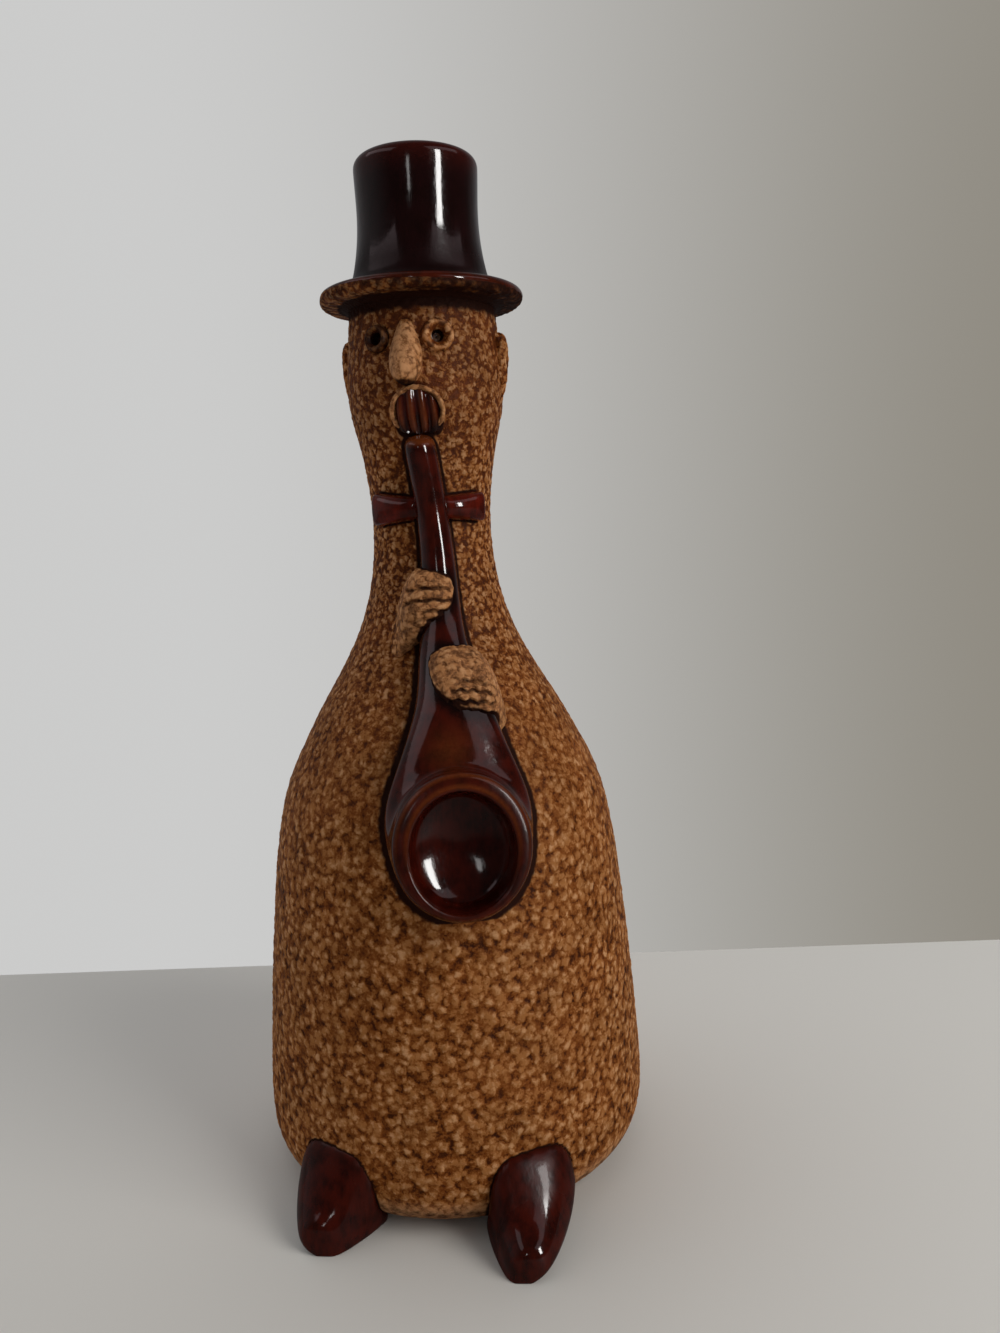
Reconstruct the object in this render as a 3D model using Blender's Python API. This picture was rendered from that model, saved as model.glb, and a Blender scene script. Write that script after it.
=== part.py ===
# A ceramic bottle vase in the form of a saxophone player in a top hat.
# One fired piece: a hollow turned body, whose hat crown is the open mouth, with the face,
# bow tie, horn, hands and shoes luted on. Metres, up is +Z, front is -Y, it stands on z = 0.
# A "turn" is an angle in degrees round the body from its front, positive towards +X.

import math

import bmesh
import bpy
from mathutils import Vector

# Turned body
BODY_HEIGHT = 0.2330        # table to the underside of the hat brim
WALL = 0.0045
FLOOR_THICKNESS = 0.0060
HEM_RADIUS = 0.0540         # the widest ring, just above the foot
HEM_CORNER_ACROSS = 0.0165  # rounding under the hem, along the table
HEM_CORNER_UP = 0.0130
BELT_RADIUS = 0.0503
SHOULDER_RADIUS = 0.0448
CHEST_RADIUS = 0.0353
COLLAR_RADIUS = 0.0229
THROAT_RADIUS = 0.0177
NECK_RADIUS = 0.0161
JAW_RADIUS = 0.0178
CHEEK_RADIUS = 0.0208
BROW_RADIUS = 0.0200
HAT_SEAT_RADIUS = 0.0193

# The figure's heights, as shares of the body height
BODY_STATIONS = (
    (0.0558, HEM_RADIUS),
    (0.0970, HEM_RADIUS),
    (0.2900, BELT_RADIUS),
    (0.4450, SHOULDER_RADIUS),
    (0.5320, CHEST_RADIUS),
    (0.6240, COLLAR_RADIUS),
    (0.6900, THROAT_RADIUS),
    (0.7640, NECK_RADIUS),
    (0.8350, JAW_RADIUS),
    (0.8970, CHEEK_RADIUS),
    (0.9650, BROW_RADIUS),
    (1.0000, HAT_SEAT_RADIUS),
)

# Top hat
BRIM_RADIUS = 0.0269
BRIM_THICKNESS = 0.0040
BRIM_FILLET = 0.0012
CROWN_HEIGHT = 0.0330
CROWN_FOOT_RADIUS = 0.0193
CROWN_WAIST_RADIUS = 0.0159
CROWN_TOP_RADIUS = 0.0161
LIP_ROUNDING = 0.0031
MOUTH_RADIUS = 0.0110       # the bottle's opening
HAT_FLOOR_HEIGHT = 0.2214   # where the crown's bore widens into the head

# Face
FACE_TURN = -4.5
EYE_TURN = 22.9             # each eye from the middle of the face
EYE_HEIGHT = 0.9570
EYE_RADIUS = 0.0042
EYE_HOLE_RADIUS = 0.0019
EYE_RELIEF = 0.0015
EYE_DEPTH = 0.0022          # of the hole, below the face
NOSE_TURN = -4.6
NOSE_TOP = 0.9760
NOSE_LENGTH = 0.0158
NOSE_HALF_WIDTH = 0.0038
NOSE_REACH = 0.0068
# down the nose: share of the length, of the half width, of the reach
NOSE_SHAPE = (
    (0.00, 0.30, 0.00),
    (0.08, 0.55, 0.22),
    (0.30, 0.74, 0.42),
    (0.55, 0.88, 0.66),
    (0.80, 1.00, 0.92),
    (0.93, 0.96, 1.00),
    (1.00, 0.74, 0.80),
)
LIPS_TURN = 1.2
LIPS_HEIGHT = 0.8800
LIPS_HALF_WIDTH = 0.0064
LIPS_HALF_HEIGHT = 0.0055
LIPS_THICKNESS = 0.0010
LIPS_GAP = 44.0             # half of the open part at the bottom, in degrees
REED_COUNT = 4
REED_HALF_WIDTH = 0.0011
REED_RELIEF = 0.0018
# down a rib inside the lips: place from 1 at the top to -1, and share of its size
REED_SHAPE = ((1.0, 0.35), (0.8, 0.90), (0.2, 1.00), (-0.5, 1.00), (-1.0, 0.60))
EAR_TURN = 90.0             # each ear from the middle of the face
EAR_TOP = 0.9700
EAR_LENGTH = 0.0172
EAR_HALF_WIDTH = 0.0025
EAR_RELIEF = 0.0027
# down the ear: share of the length, of the half width, of the relief
EAR_SHAPE = (
    (0.00, 0.45, 0.30),
    (0.06, 0.90, 0.85),
    (0.25, 1.00, 1.00),
    (0.55, 0.90, 0.75),
    (0.85, 0.70, 0.35),
    (1.00, 0.35, 0.00),
)

# Bow tie
BOW_TURN = 4.5
BOW_HEIGHT = 0.7770
BOW_HALF_SPAN = 0.0146
BOW_OUTER_HEIGHT = 0.0080
BOW_INNER_HEIGHT = 0.0052
BOW_RELIEF = 0.0026
BOW_KNOT_HALF_WIDTH = 0.0030
BOW_KNOT_RELIEF = 0.0034

# Horn: height as a share of the body height, turn, how far the front stands off the body,
# half width
HORN_STATIONS = (
    (0.8540, 1.8, 0.0052, 0.0026),
    (0.8500, 1.9, 0.0066, 0.0037),
    (0.8400, 2.3, 0.0070, 0.0041),
    (0.7890, 7.3, 0.0068, 0.0039),
    (0.7270, 11.1, 0.0070, 0.0043),
    (0.6770, 11.3, 0.0074, 0.0048),
    (0.6350, 10.7, 0.0082, 0.0056),
    (0.5960, 11.6, 0.0094, 0.0072),
    (0.5620, 13.1, 0.0114, 0.0091),
)
HORN_TIP_LIFT = 0.0020      # of the mouthpiece's end, off the body
HORN_TIP_RISE = 0.0005
BELL_TURN = 11.5
BELL_HEIGHT = 0.4478
BELL_LIFT = 0.0135          # middle of the rim, off the body
BELL_TILT = 12.0            # the rim looks up by this many degrees
BELL_HALF_WIDTH = 0.0163
BELL_HALF_HEIGHT = 0.0173
BELL_ROUNDING = 0.0014
BELL_FOOT_HALF_WIDTH = 0.0184   # where the bell meets the body
BELL_FOOT_DROP = 0.0156     # of its lowest point, below the rim's middle
CUP_HALF_WIDTH = 0.0123
CUP_HALF_HEIGHT = 0.0139
CUP_DROP = 0.0013           # the cup sits low in the rim
CUP_DEPTH = 0.0115
# into the cup: share of the depth, of the half width and height
CUP_SHAPE = ((0.17, 1.00), (0.60, 0.95), (0.85, 0.78), (1.00, 0.40))

# Hands: the side that the fingertips reach towards is 1 for +X and -1 for -X
HANDS = {
    "upper": {"turn": -1.8, "height": 0.6745, "reach_side": 1, "half_width": 0.0066,
              "half_height": 0.0086, "relief": 0.0106},
    "lower": {"turn": 19.2, "height": 0.5850, "reach_side": -1, "half_width": 0.0073,
              "half_height": 0.0092, "relief": 0.0134},
}
# from the wrist to the fingertips: shares of the half width, of the half height for the
# middle and for the size, and of the relief
HAND_SHAPE = (
    (-1.30, -0.98, 0.30, 0.00),
    (-0.98, -0.74, 0.66, 0.24),
    (-0.62, -0.40, 0.92, 0.56),
    (-0.25, -0.12, 1.00, 0.88),
    (0.20, 0.00, 0.98, 1.00),
    (0.60, 0.05, 0.88, 0.99),
    (0.88, 0.08, 0.68, 0.88),
    (1.00, 0.10, 0.46, 0.72),
)
FINGER_COUNT = 4
FINGER_GROOVE = 0.0009

# Shoes: turn of the root and of the toe, and how far the toe reaches past the hem
SHOES = {
    "left": {"root_turn": -29.5, "toe_turn": -25.6, "reach": 0.0098},
    "right": {"root_turn": 28.2, "toe_turn": 18.8, "reach": 0.0145},
}
SHOE_HALF_WIDTH = 0.0136
SHOE_HEIGHT = 0.0256
SHOE_SOLE_EDGE = 0.0016     # height of the sole's upright edge
SHOE_SOLE_INSET = 0.86      # the sole's width on the table, as a share of the shoe's
SHOE_FULLNESS = 0.72        # under 1 the arch is fuller than an ellipse
# from the root on the body to the toe: share of the way, of the width, of the height
SHOE_SHAPE = (
    (0.00, 1.00, 1.00),
    (0.28, 0.92, 0.80),
    (0.50, 0.78, 0.61),
    (0.70, 0.62, 0.46),
    (0.86, 0.47, 0.35),
    (0.95, 0.34, 0.27),
    (1.00, 0.18, 0.18),
)

# Making
SIDES = 44                  # of the turned body
SINK = 0.0020               # how deep what is luted on goes into the wall
BEDDING = 0.0004            # how deep its edges lie under the surface
CLAY_COLOUR = (0.42, 0.25, 0.12, 1.0)
NUDGE = 0.0001


def smooth_through(stations, at):
    """Value at a place, on a smooth curve through (place, value) pairs in rising order."""
    places = [s[0] for s in stations]
    values = [s[1] for s in stations]
    at = min(max(at, places[0]), places[-1])
    i = 0
    while i < len(places) - 2 and at > places[i + 1]:
        i += 1

    def slope(k):
        low, high = max(k - 1, 0), min(k + 1, len(places) - 1)
        return (values[high] - values[low]) / (places[high] - places[low])

    span = places[i + 1] - places[i]
    t = (at - places[i]) / span
    return ((2 * t**3 - 3 * t**2 + 1) * values[i] + (t**3 - 2 * t**2 + t) * span * slope(i)
            + (3 * t**2 - 2 * t**3) * values[i + 1] + (t**3 - t**2) * span * slope(i + 1))


def body_radius(height):
    """Outer radius of the turned body at a height in metres."""
    if height < HEM_CORNER_UP:
        drop = 1.0 - max(height, 0.0) / HEM_CORNER_UP
        return HEM_RADIUS - HEM_CORNER_ACROSS * (1.0 - math.sqrt(1.0 - drop * drop))
    return smooth_through(BODY_STATIONS, height / BODY_HEIGHT)


def body_normal(height):
    """Outward and upward parts of the body's normal at a height."""
    slope = (body_radius(height + NUDGE) - body_radius(height - NUDGE)) / (2 * NUDGE)
    length = math.hypot(1.0, slope)
    return 1.0 / length, -slope / length


def on_body(turn, height, lift=0.0, across=0.0):
    """Point off the body's surface: lift along the normal, across is measured on the surface."""
    radius = body_radius(height)
    angle = math.radians(turn) + across / radius
    outward, upward = body_normal(height)
    radius += lift * outward
    return Vector((radius * math.sin(angle), -radius * math.cos(angle), height + lift * upward))


def arc(centre_r, centre_z, size_r, size_z, start, end, steps):
    """Points of an elliptic arc in the (radius, height) plane, angles in degrees."""
    points = []
    for i in range(steps + 1):
        angle = math.radians(start + (end - start) * i / steps)
        points.append((centre_r + size_r * math.cos(angle), centre_z + size_z * math.sin(angle)))
    return points


def new_object(name, bm):
    mesh = bpy.data.meshes.new(name)
    bmesh.ops.recalc_face_normals(bm, faces=bm.faces[:])
    bm.to_mesh(mesh)
    bm.free()
    piece = bpy.data.objects.new(name, mesh)
    bpy.context.collection.objects.link(piece)
    return piece


def turned(name, profile):
    """Solid of revolution from a profile that starts and ends on the axis."""
    bm = bmesh.new()
    verts = [bm.verts.new((radius, 0.0, height)) for radius, height in profile]
    edges = [bm.edges.new(pair) for pair in zip(verts, verts[1:])]
    bmesh.ops.spin(bm, geom=verts + edges, axis=(0, 0, 1), cent=(0, 0, 0),
                   angle=2 * math.pi, steps=SIDES, use_merge=True)
    bmesh.ops.remove_doubles(bm, verts=bm.verts[:], dist=1e-6)
    return new_object(name, bm)


def loft(name, rings, start_point=None, end_point=None):
    """Closed solid through rings of points, each end capped flat or drawn to a point."""
    bm = bmesh.new()
    rows = [[bm.verts.new(point) for point in ring] for ring in rings]
    count = len(rows[0])
    for low, high in zip(rows, rows[1:]):
        for i in range(count):
            j = (i + 1) % count
            bm.faces.new((low[i], low[j], high[j], high[i]))
    for row, point in ((rows[0], start_point), (rows[-1], end_point)):
        if point is None:
            bm.faces.new(row)
            continue
        pole = bm.verts.new(point)
        for i in range(count):
            bm.faces.new((row[i], row[(i + 1) % count], pole))
    return new_object(name, bm)


def combine(vase, tool, operation):
    """Unite the vase with a tool, or cut the tool out of it, and remove the tool."""
    modifier = vase.modifiers.new(tool.name, "BOOLEAN")
    modifier.operation = operation
    modifier.solver = "EXACT"
    modifier.object = tool
    graph = bpy.context.evaluated_depsgraph_get()
    mesh = bpy.data.meshes.new_from_object(vase.evaluated_get(graph))
    old = vase.data
    vase.modifiers.clear()
    vase.data = mesh
    bpy.data.meshes.remove(old)
    bpy.data.objects.remove(tool)


def vase_profile():
    """The vase's wall in the (radius, height) plane, from the foot's middle round to the floor's."""
    brim_top = BODY_HEIGHT + BRIM_THICKNESS
    top = brim_top + CROWN_HEIGHT
    foot = (HEM_RADIUS - HEM_CORNER_ACROSS, 0.0)
    profile = [(0.0, 0.0), foot]
    profile += arc(foot[0], HEM_CORNER_UP, HEM_CORNER_ACROSS, HEM_CORNER_UP, -90, 0, 5)[1:]

    # outside, up to the hat
    rows = 21
    for i in range(1, rows):
        height = HEM_CORNER_UP + (BODY_HEIGHT - BRIM_FILLET - HEM_CORNER_UP) * i / rows
        profile.append((body_radius(height), height))
    profile.append((HAT_SEAT_RADIUS, BODY_HEIGHT - BRIM_FILLET))
    profile.append((HAT_SEAT_RADIUS + BRIM_FILLET, BODY_HEIGHT))
    half = BRIM_THICKNESS / 2
    profile += arc(BRIM_RADIUS - half, BODY_HEIGHT + half, half, half, -90, 90, 4)

    # crown, waisted between its foot and its rounded lip
    lip_height = top - LIP_ROUNDING
    crown = ((0.0, CROWN_FOOT_RADIUS + BRIM_FILLET), (0.08, CROWN_FOOT_RADIUS - BRIM_FILLET),
             (0.50, CROWN_WAIST_RADIUS), (1.0, CROWN_TOP_RADIUS))
    for share in (0.0, 0.08, 0.24, 0.50, 0.76):
        profile.append((smooth_through(crown, share), brim_top + (lip_height - brim_top) * share))
    profile += arc(CROWN_TOP_RADIUS - LIP_ROUNDING, lip_height, LIP_ROUNDING, LIP_ROUNDING,
                   0, 90, 3)
    inner_lip = CROWN_TOP_RADIUS - LIP_ROUNDING - MOUTH_RADIUS
    profile += arc(MOUTH_RADIUS + inner_lip, top - inner_lip, inner_lip, inner_lip, 90, 180, 2)[1:]

    # inside, down the bore and then one wall in from the outside
    profile.append((MOUTH_RADIUS, BODY_HEIGHT + BRIM_THICKNESS / 2))
    rows = 14
    for i in range(rows + 1):
        height = HAT_FLOOR_HEIGHT + (HEM_CORNER_UP - HAT_FLOOR_HEIGHT) * i / rows
        outward, upward = body_normal(height)
        profile.append((body_radius(height) - WALL * outward, height - WALL * upward))
    for radius, height in reversed(arc(foot[0], HEM_CORNER_UP, HEM_CORNER_ACROSS - WALL,
                                       HEM_CORNER_UP - WALL, -90, 0, 4)[1:-1]):
        if height > FLOOR_THICKNESS + NUDGE:
            profile.append((radius, height))
    last = profile[-1]
    profile.append((last[0] - (last[1] - FLOOR_THICKNESS), FLOOR_THICKNESS))
    profile.append((0.0, FLOOR_THICKNESS))
    return profile


def eye(turn):
    """Ring with a dished middle, turned about the face's normal."""
    height = EYE_HEIGHT * BODY_HEIGHT
    middle = on_body(turn, height)
    out = (on_body(turn, height, WALL) - middle).normalized()
    side = Vector((math.cos(math.radians(turn)), math.sin(math.radians(turn)), 0.0))
    up = out.cross(side)
    tube = (EYE_RADIUS - EYE_HOLE_RADIUS) / 2
    rings = []
    for radius, lift in ((EYE_RADIUS, -SINK), (EYE_RADIUS, EYE_RELIEF - tube * 0.7),
                         (EYE_RADIUS - tube * 0.5, EYE_RELIEF),
                         (EYE_RADIUS - tube * 1.3, EYE_RELIEF)):
        rings.append([middle + out * lift + radius * (side * math.cos(a) + up * math.sin(a))
                      for a in (2 * math.pi * i / 16 for i in range(16))])
    drill = [[middle + out * lift + EYE_HOLE_RADIUS * (side * math.cos(a) + up * math.sin(a))
              for a in (2 * math.pi * (i + 0.5) / 12 for i in range(12))]
             for lift in (-EYE_DEPTH, EYE_RELIEF + SINK)]
    return loft("eye", rings), loft("eye_drill", drill)


def ridge(turn, height, half_width, relief, across=0.0, fullness=1.0):
    """Section of a ridge that runs up the body: rounded in front, sunk in the wall behind."""
    steps = 8
    ring = []
    for i in range(steps + 1):
        angle = math.pi * i / steps
        lift = relief * math.sin(angle) ** fullness - BEDDING
        ring.append(on_body(turn, height, lift, across - half_width * math.cos(angle)))
    for side in (1, -1):
        ring.append(on_body(turn, height, -SINK, across + side * half_width * 0.9))
    return ring


def nose():
    """Long wedge, with its point at the brow and its widest reach over the mouth."""
    top = NOSE_TOP * BODY_HEIGHT
    return loft("nose", [ridge(NOSE_TURN, top - NOSE_LENGTH * share, NOSE_HALF_WIDTH * width,
                               NOSE_REACH * reach, fullness=0.8)
                         for share, width, reach in NOSE_SHAPE])


def lips():
    """Raised ring round the mouthpiece, open where the horn leaves it."""
    height = LIPS_HEIGHT * BODY_HEIGHT
    rings = []
    steps = 18
    for i in range(steps + 1):
        angle = math.radians(-90 + LIPS_GAP + (360 - 2 * LIPS_GAP) * i / steps)
        thickness = LIPS_THICKNESS * (0.6 if i in (0, steps) else 1.0)
        section = [(thickness * math.cos(math.pi * k / 4),
                    thickness * 1.5 * math.sin(math.pi * k / 4) - BEDDING) for k in range(5)]
        section += [(-thickness * 0.9, -SINK), (thickness * 0.9, -SINK)]
        rings.append([on_body(LIPS_TURN, height + (LIPS_HALF_HEIGHT + reach) * math.sin(angle), lift,
                              (LIPS_HALF_WIDTH + reach) * math.cos(angle))
                      for reach, lift in section])
    return loft("lips", rings)


def reed(index):
    """One of the upright ribs inside the lips, leaning in towards the horn."""
    place = (index + 0.5) / REED_COUNT * 2 - 1
    top_limit = math.sqrt(1 - place**2)
    rings = []
    for rise, size in REED_SHAPE:
        limit = top_limit if rise > 0 else 1.0
        height = LIPS_HEIGHT * BODY_HEIGHT + rise * limit * LIPS_HALF_HEIGHT * 0.88
        across = place * LIPS_HALF_WIDTH * (0.80 + 0.16 * rise) * math.sqrt(1 - 0.12 * rise**2)
        rings.append(ridge(LIPS_TURN, height, REED_HALF_WIDTH * size, REED_RELIEF * size, across))
    return loft("reed", rings)


def ear(turn):
    """Low upright ridge, blunt at the top and fading downwards."""
    top = EAR_TOP * BODY_HEIGHT
    return loft("ear", [ridge(turn, top - EAR_LENGTH * share, EAR_HALF_WIDTH * width,
                              EAR_RELIEF * relief)
                        for share, width, relief in EAR_SHAPE])


def bow_wing(side):
    """Tile bent round the neck, taller at its outer end."""
    rings = []
    start = BOW_KNOT_HALF_WIDTH / 2
    for share in (0.0, 0.06, 0.30, 0.55, 0.80, 0.97, 1.0):
        across = side * (start + (BOW_HALF_SPAN - start) * share)
        half = (BOW_INNER_HEIGHT + (BOW_OUTER_HEIGHT - BOW_INNER_HEIGHT) * share) / 2
        relief = BOW_RELIEF * (0.75 if share in (0.0, 1.0) else 1.0)
        soft = half * 0.84
        ring = []
        for rise, lift in ((-half, -SINK), (-half, relief * 0.8), (-soft, relief), (0.0, relief),
                           (soft, relief), (half, relief * 0.8), (half, -SINK)):
            ring.append(on_body(BOW_TURN, BOW_HEIGHT * BODY_HEIGHT + rise, lift, across))
        rings.append(ring)
    return loft("bow_wing", rings)


def bow_knot():
    rings = []
    for share, size in ((-1.0, 0.7), (-0.6, 1.0), (0.6, 1.0), (1.0, 0.7)):
        across = BOW_KNOT_HALF_WIDTH * share
        ring = []
        for k in range(10):
            angle = 2 * math.pi * k / 10
            height = BOW_HEIGHT * BODY_HEIGHT + BOW_INNER_HEIGHT * 0.56 * size * math.cos(angle)
            lift = BOW_KNOT_RELIEF * size * math.sin(angle)
            ring.append(on_body(BOW_TURN, height, max(lift, -SINK), across))
        rings.append(ring)
    return loft("bow_knot", rings)


def horn():
    """Saxophone: a tube down the front that widens and turns out into a cupped bell."""
    sides = 20
    rings = []
    for share, turn, relief, half_width in HORN_STATIONS:
        front = on_body(turn, share * BODY_HEIGHT, relief)
        back = on_body(turn, share * BODY_HEIGHT, -SINK)
        side = Vector((math.cos(math.radians(turn)), math.sin(math.radians(turn)), 0.0))
        rings.append((front, back, side * half_width))

    # bell: ovals about the line that the rim looks along
    bell_height = BELL_HEIGHT * BODY_HEIGHT
    turn = math.radians(BELL_TURN)
    tilt = math.radians(BELL_TILT)
    side = Vector((math.cos(turn), math.sin(turn), 0.0))
    level = Vector((math.sin(turn), -math.cos(turn), 0.0))
    look = level * math.cos(tilt) + Vector((0, 0, 1)) * math.sin(tilt)
    up = look.cross(side)
    middle = on_body(BELL_TURN, bell_height) + level * BELL_LIFT

    def oval(half_width, half_height, depth, drop=0.0):
        centre = middle - look * depth - up * drop
        return [centre + up * (math.cos(a) * half_height) + side * (math.sin(a) * half_width)
                for a in (2 * math.pi * i / sides for i in range(sides))]

    # between the tube and the rim the front runs on to the rim's top, the back slides down the body
    swell = 1.03
    swell_depth = BELL_LIFT * 0.42
    swell_top = middle + up * (BELL_HALF_HEIGHT * swell) - look * swell_depth
    last_height = HORN_STATIONS[-1][0] * BODY_HEIGHT
    tube_front = rings[-1][0]
    for share, width in ((0.30, 0.30), (0.62, 0.68), (0.90, 1.0)):
        height = last_height * (1 - share) + (bell_height - BELL_FOOT_DROP) * share
        half = HORN_STATIONS[-1][3] * (1 - width) + BELL_FOOT_HALF_WIDTH * width
        rings.append((tube_front.lerp(swell_top, share), on_body(BELL_TURN, height, -SINK),
                      side * half))
    rows = []
    for front, back, half in rings:
        centre = (front + back) / 2
        rows.append([centre + (front - centre) * math.cos(a) + half * math.sin(a)
                     for a in (2 * math.pi * i / sides for i in range(sides))])

    rows.append(oval(BELL_HALF_WIDTH * swell, BELL_HALF_HEIGHT * swell, swell_depth))
    rows.append(oval(BELL_HALF_WIDTH, BELL_HALF_HEIGHT, BELL_ROUNDING))
    rows.append(oval(BELL_HALF_WIDTH - BELL_ROUNDING / 2, BELL_HALF_HEIGHT - BELL_ROUNDING / 2,
                     BELL_ROUNDING * 0.15))
    rows.append(oval((BELL_HALF_WIDTH + CUP_HALF_WIDTH) / 2, (BELL_HALF_HEIGHT + CUP_HALF_HEIGHT) / 2,
                     0.0, CUP_DROP / 2))
    rows.append(oval(CUP_HALF_WIDTH + BELL_ROUNDING / 5, CUP_HALF_HEIGHT + BELL_ROUNDING / 5,
                     BELL_ROUNDING / 2, CUP_DROP))
    for share, size in CUP_SHAPE:
        rows.append(oval(CUP_HALF_WIDTH * size, CUP_HALF_HEIGHT * size, CUP_DEPTH * share, CUP_DROP))
    tip = on_body(HORN_STATIONS[0][1], HORN_STATIONS[0][0] * BODY_HEIGHT + HORN_TIP_RISE,
                  HORN_TIP_LIFT)
    return loft("horn", rows, tip, middle - look * CUP_DEPTH * 1.03 - up * CUP_DROP)


def hand(size):
    """Mitten over the horn, lofted from the wrist to the fingertips, grooved between fingers."""
    steps = FINGER_COUNT * 3
    height = size["height"] * BODY_HEIGHT
    rings = []
    for along, drop, tall, relief in HAND_SHAPE:
        across = along * size["reach_side"] * size["half_width"]
        middle = height + drop * size["half_height"]
        half = tall * size["half_height"]
        groove_depth = FINGER_GROOVE * max(0.0, min(1.0, (along + 0.6) * 2))
        ring = []
        for i in range(steps + 1):
            place = 2 * i / steps - 1
            cover = (1 - abs(place) ** 2.6) ** (1 / 2.6) if 0 < i < steps else 0.0
            groove = groove_depth if i % 3 == 0 and 0 < i < steps else 0.0
            ring.append(on_body(size["turn"], middle + half * place,
                                size["relief"] * relief * cover - groove - BEDDING, across))
        for place in (0.8, -0.8):
            ring.append(on_body(size["turn"], middle + half * place, -SINK, across))
        rings.append(ring)
    return loft("hand", rings)


def shoe(place):
    """Pointed shoe: an arch on the hem that narrows forwards to the toe, flat on the table."""
    sole = SHOE_HALF_WIDTH * SHOE_SOLE_INSET
    arch = [(-sole, 0.0), (-SHOE_HALF_WIDTH, SHOE_SOLE_EDGE)]
    steps = 10
    for i in range(1, steps):
        angle = math.pi * (1 - i / steps)
        wide = math.copysign(abs(math.cos(angle)) ** SHOE_FULLNESS, math.cos(angle))
        arch.append((SHOE_HALF_WIDTH * wide, SHOE_HEIGHT * math.sin(angle) ** SHOE_FULLNESS))
    arch += [(SHOE_HALF_WIDTH, SHOE_SOLE_EDGE), (sole, 0.0)]
    root = [on_body(place["root_turn"], max(z, SINK / 2), -SINK, x) for x, z in arch]
    for point, (x, z) in zip(root, arch):
        point.z = z

    heel = (root[0] + root[-1]) / 2
    turn = math.radians(place["toe_turn"])
    toe = Vector((math.sin(turn), -math.cos(turn), 0.0)) * (HEM_RADIUS + place["reach"])
    rings = []
    for share, width, tall in SHOE_SHAPE:
        centre = heel.lerp(toe, share)
        ring = []
        for point in root:
            offset = point - heel
            ring.append(centre + Vector((offset.x * width, offset.y * (1 - share), offset.z * tall)))
        rings.append(ring)
    return loft("shoe", rings)


def glazed_clay():
    material = bpy.data.materials.new("glazed_clay")
    material.use_nodes = True
    shader = material.node_tree.nodes["Principled BSDF"]
    shader.inputs["Base Color"].default_value = CLAY_COLOUR
    shader.inputs["Roughness"].default_value = 0.5
    shader.inputs["Metallic"].default_value = 0.0
    return material


def build():
    for old in list(bpy.data.objects):
        bpy.data.objects.remove(old)

    vase = turned("figural_vase", vase_profile())
    for side in (-1, 1):
        ring, drill = eye(FACE_TURN + side * EYE_TURN)
        combine(vase, ring, "UNION")
        combine(vase, drill, "DIFFERENCE")
        combine(vase, ear(FACE_TURN + side * EAR_TURN), "UNION")
        combine(vase, bow_wing(side), "UNION")
    combine(vase, bow_knot(), "UNION")
    combine(vase, nose(), "UNION")
    for index in range(REED_COUNT):
        combine(vase, reed(index), "UNION")
    combine(vase, lips(), "UNION")
    combine(vase, horn(), "UNION")
    for size in HANDS.values():
        combine(vase, hand(size), "UNION")
    for place in SHOES.values():
        combine(vase, shoe(place), "UNION")

    vase.data.materials.clear()
    vase.data.materials.append(glazed_clay())
    vase.data.shade_smooth()
    vase.data.set_sharp_from_angle(angle=math.radians(35))


build()
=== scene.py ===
import math

import bmesh
import bpy
import numpy as np
from mathutils import Matrix, Vector
from mathutils.bvhtree import BVHTree


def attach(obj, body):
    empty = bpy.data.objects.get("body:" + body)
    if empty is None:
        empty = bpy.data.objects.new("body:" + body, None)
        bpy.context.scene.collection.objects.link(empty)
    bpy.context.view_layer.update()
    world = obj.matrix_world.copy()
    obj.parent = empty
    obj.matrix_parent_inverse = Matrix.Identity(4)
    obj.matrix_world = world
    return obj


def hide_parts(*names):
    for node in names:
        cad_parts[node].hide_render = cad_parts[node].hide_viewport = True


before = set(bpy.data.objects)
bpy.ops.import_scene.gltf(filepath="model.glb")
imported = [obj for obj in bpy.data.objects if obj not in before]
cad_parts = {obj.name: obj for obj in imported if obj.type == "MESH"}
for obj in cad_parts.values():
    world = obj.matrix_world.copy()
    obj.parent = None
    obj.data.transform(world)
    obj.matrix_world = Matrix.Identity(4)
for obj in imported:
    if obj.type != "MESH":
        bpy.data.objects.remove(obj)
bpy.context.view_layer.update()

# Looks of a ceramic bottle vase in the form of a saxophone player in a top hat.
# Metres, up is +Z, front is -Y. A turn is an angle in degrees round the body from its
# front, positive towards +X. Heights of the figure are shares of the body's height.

print("camera, floor and lights")


# a node with its settings, and its first inputs fed in their order
def addNode(tree, kind, *values, **settings):
    node = tree.nodes.new(kind)
    for key, value in settings.items():
        setattr(node, key, value)
    for socket, value in zip(node.inputs, values):
        feed(tree, socket, value)
    return node


def feed(tree, socket, value):
    if isinstance(value, bpy.types.NodeSocket):
        tree.links.new(value, socket)
    else:
        socket.default_value = value


def maths(tree, operation, first, second=0.0, clamp=False):
    return addNode(tree, "ShaderNodeMath", first, second, operation=operation,
                   use_clamp=clamp).outputs[0]


def plus(tree, first, second, clamp=False):
    return maths(tree, "ADD", first, second, clamp)


def minus(tree, first, second):
    return maths(tree, "SUBTRACT", first, second)


def times(tree, first, second):
    return maths(tree, "MULTIPLY", first, second)


def vectors(tree, operation, *both):
    return addNode(tree, "ShaderNodeVectorMath", *both, operation=operation).outputs[0]


def scaled(tree, place, scale):
    node = addNode(tree, "ShaderNodeVectorMath", place, operation="SCALE")
    feed(tree, node.inputs["Scale"], scale)
    return node.outputs[0]


def remap(tree, value, low, high, toLow=0.0, toHigh=1.0):
    return addNode(tree, "ShaderNodeMapRange", value, low, high, toLow, toHigh,
                   interpolation_type="SMOOTHSTEP").outputs[0]


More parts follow.
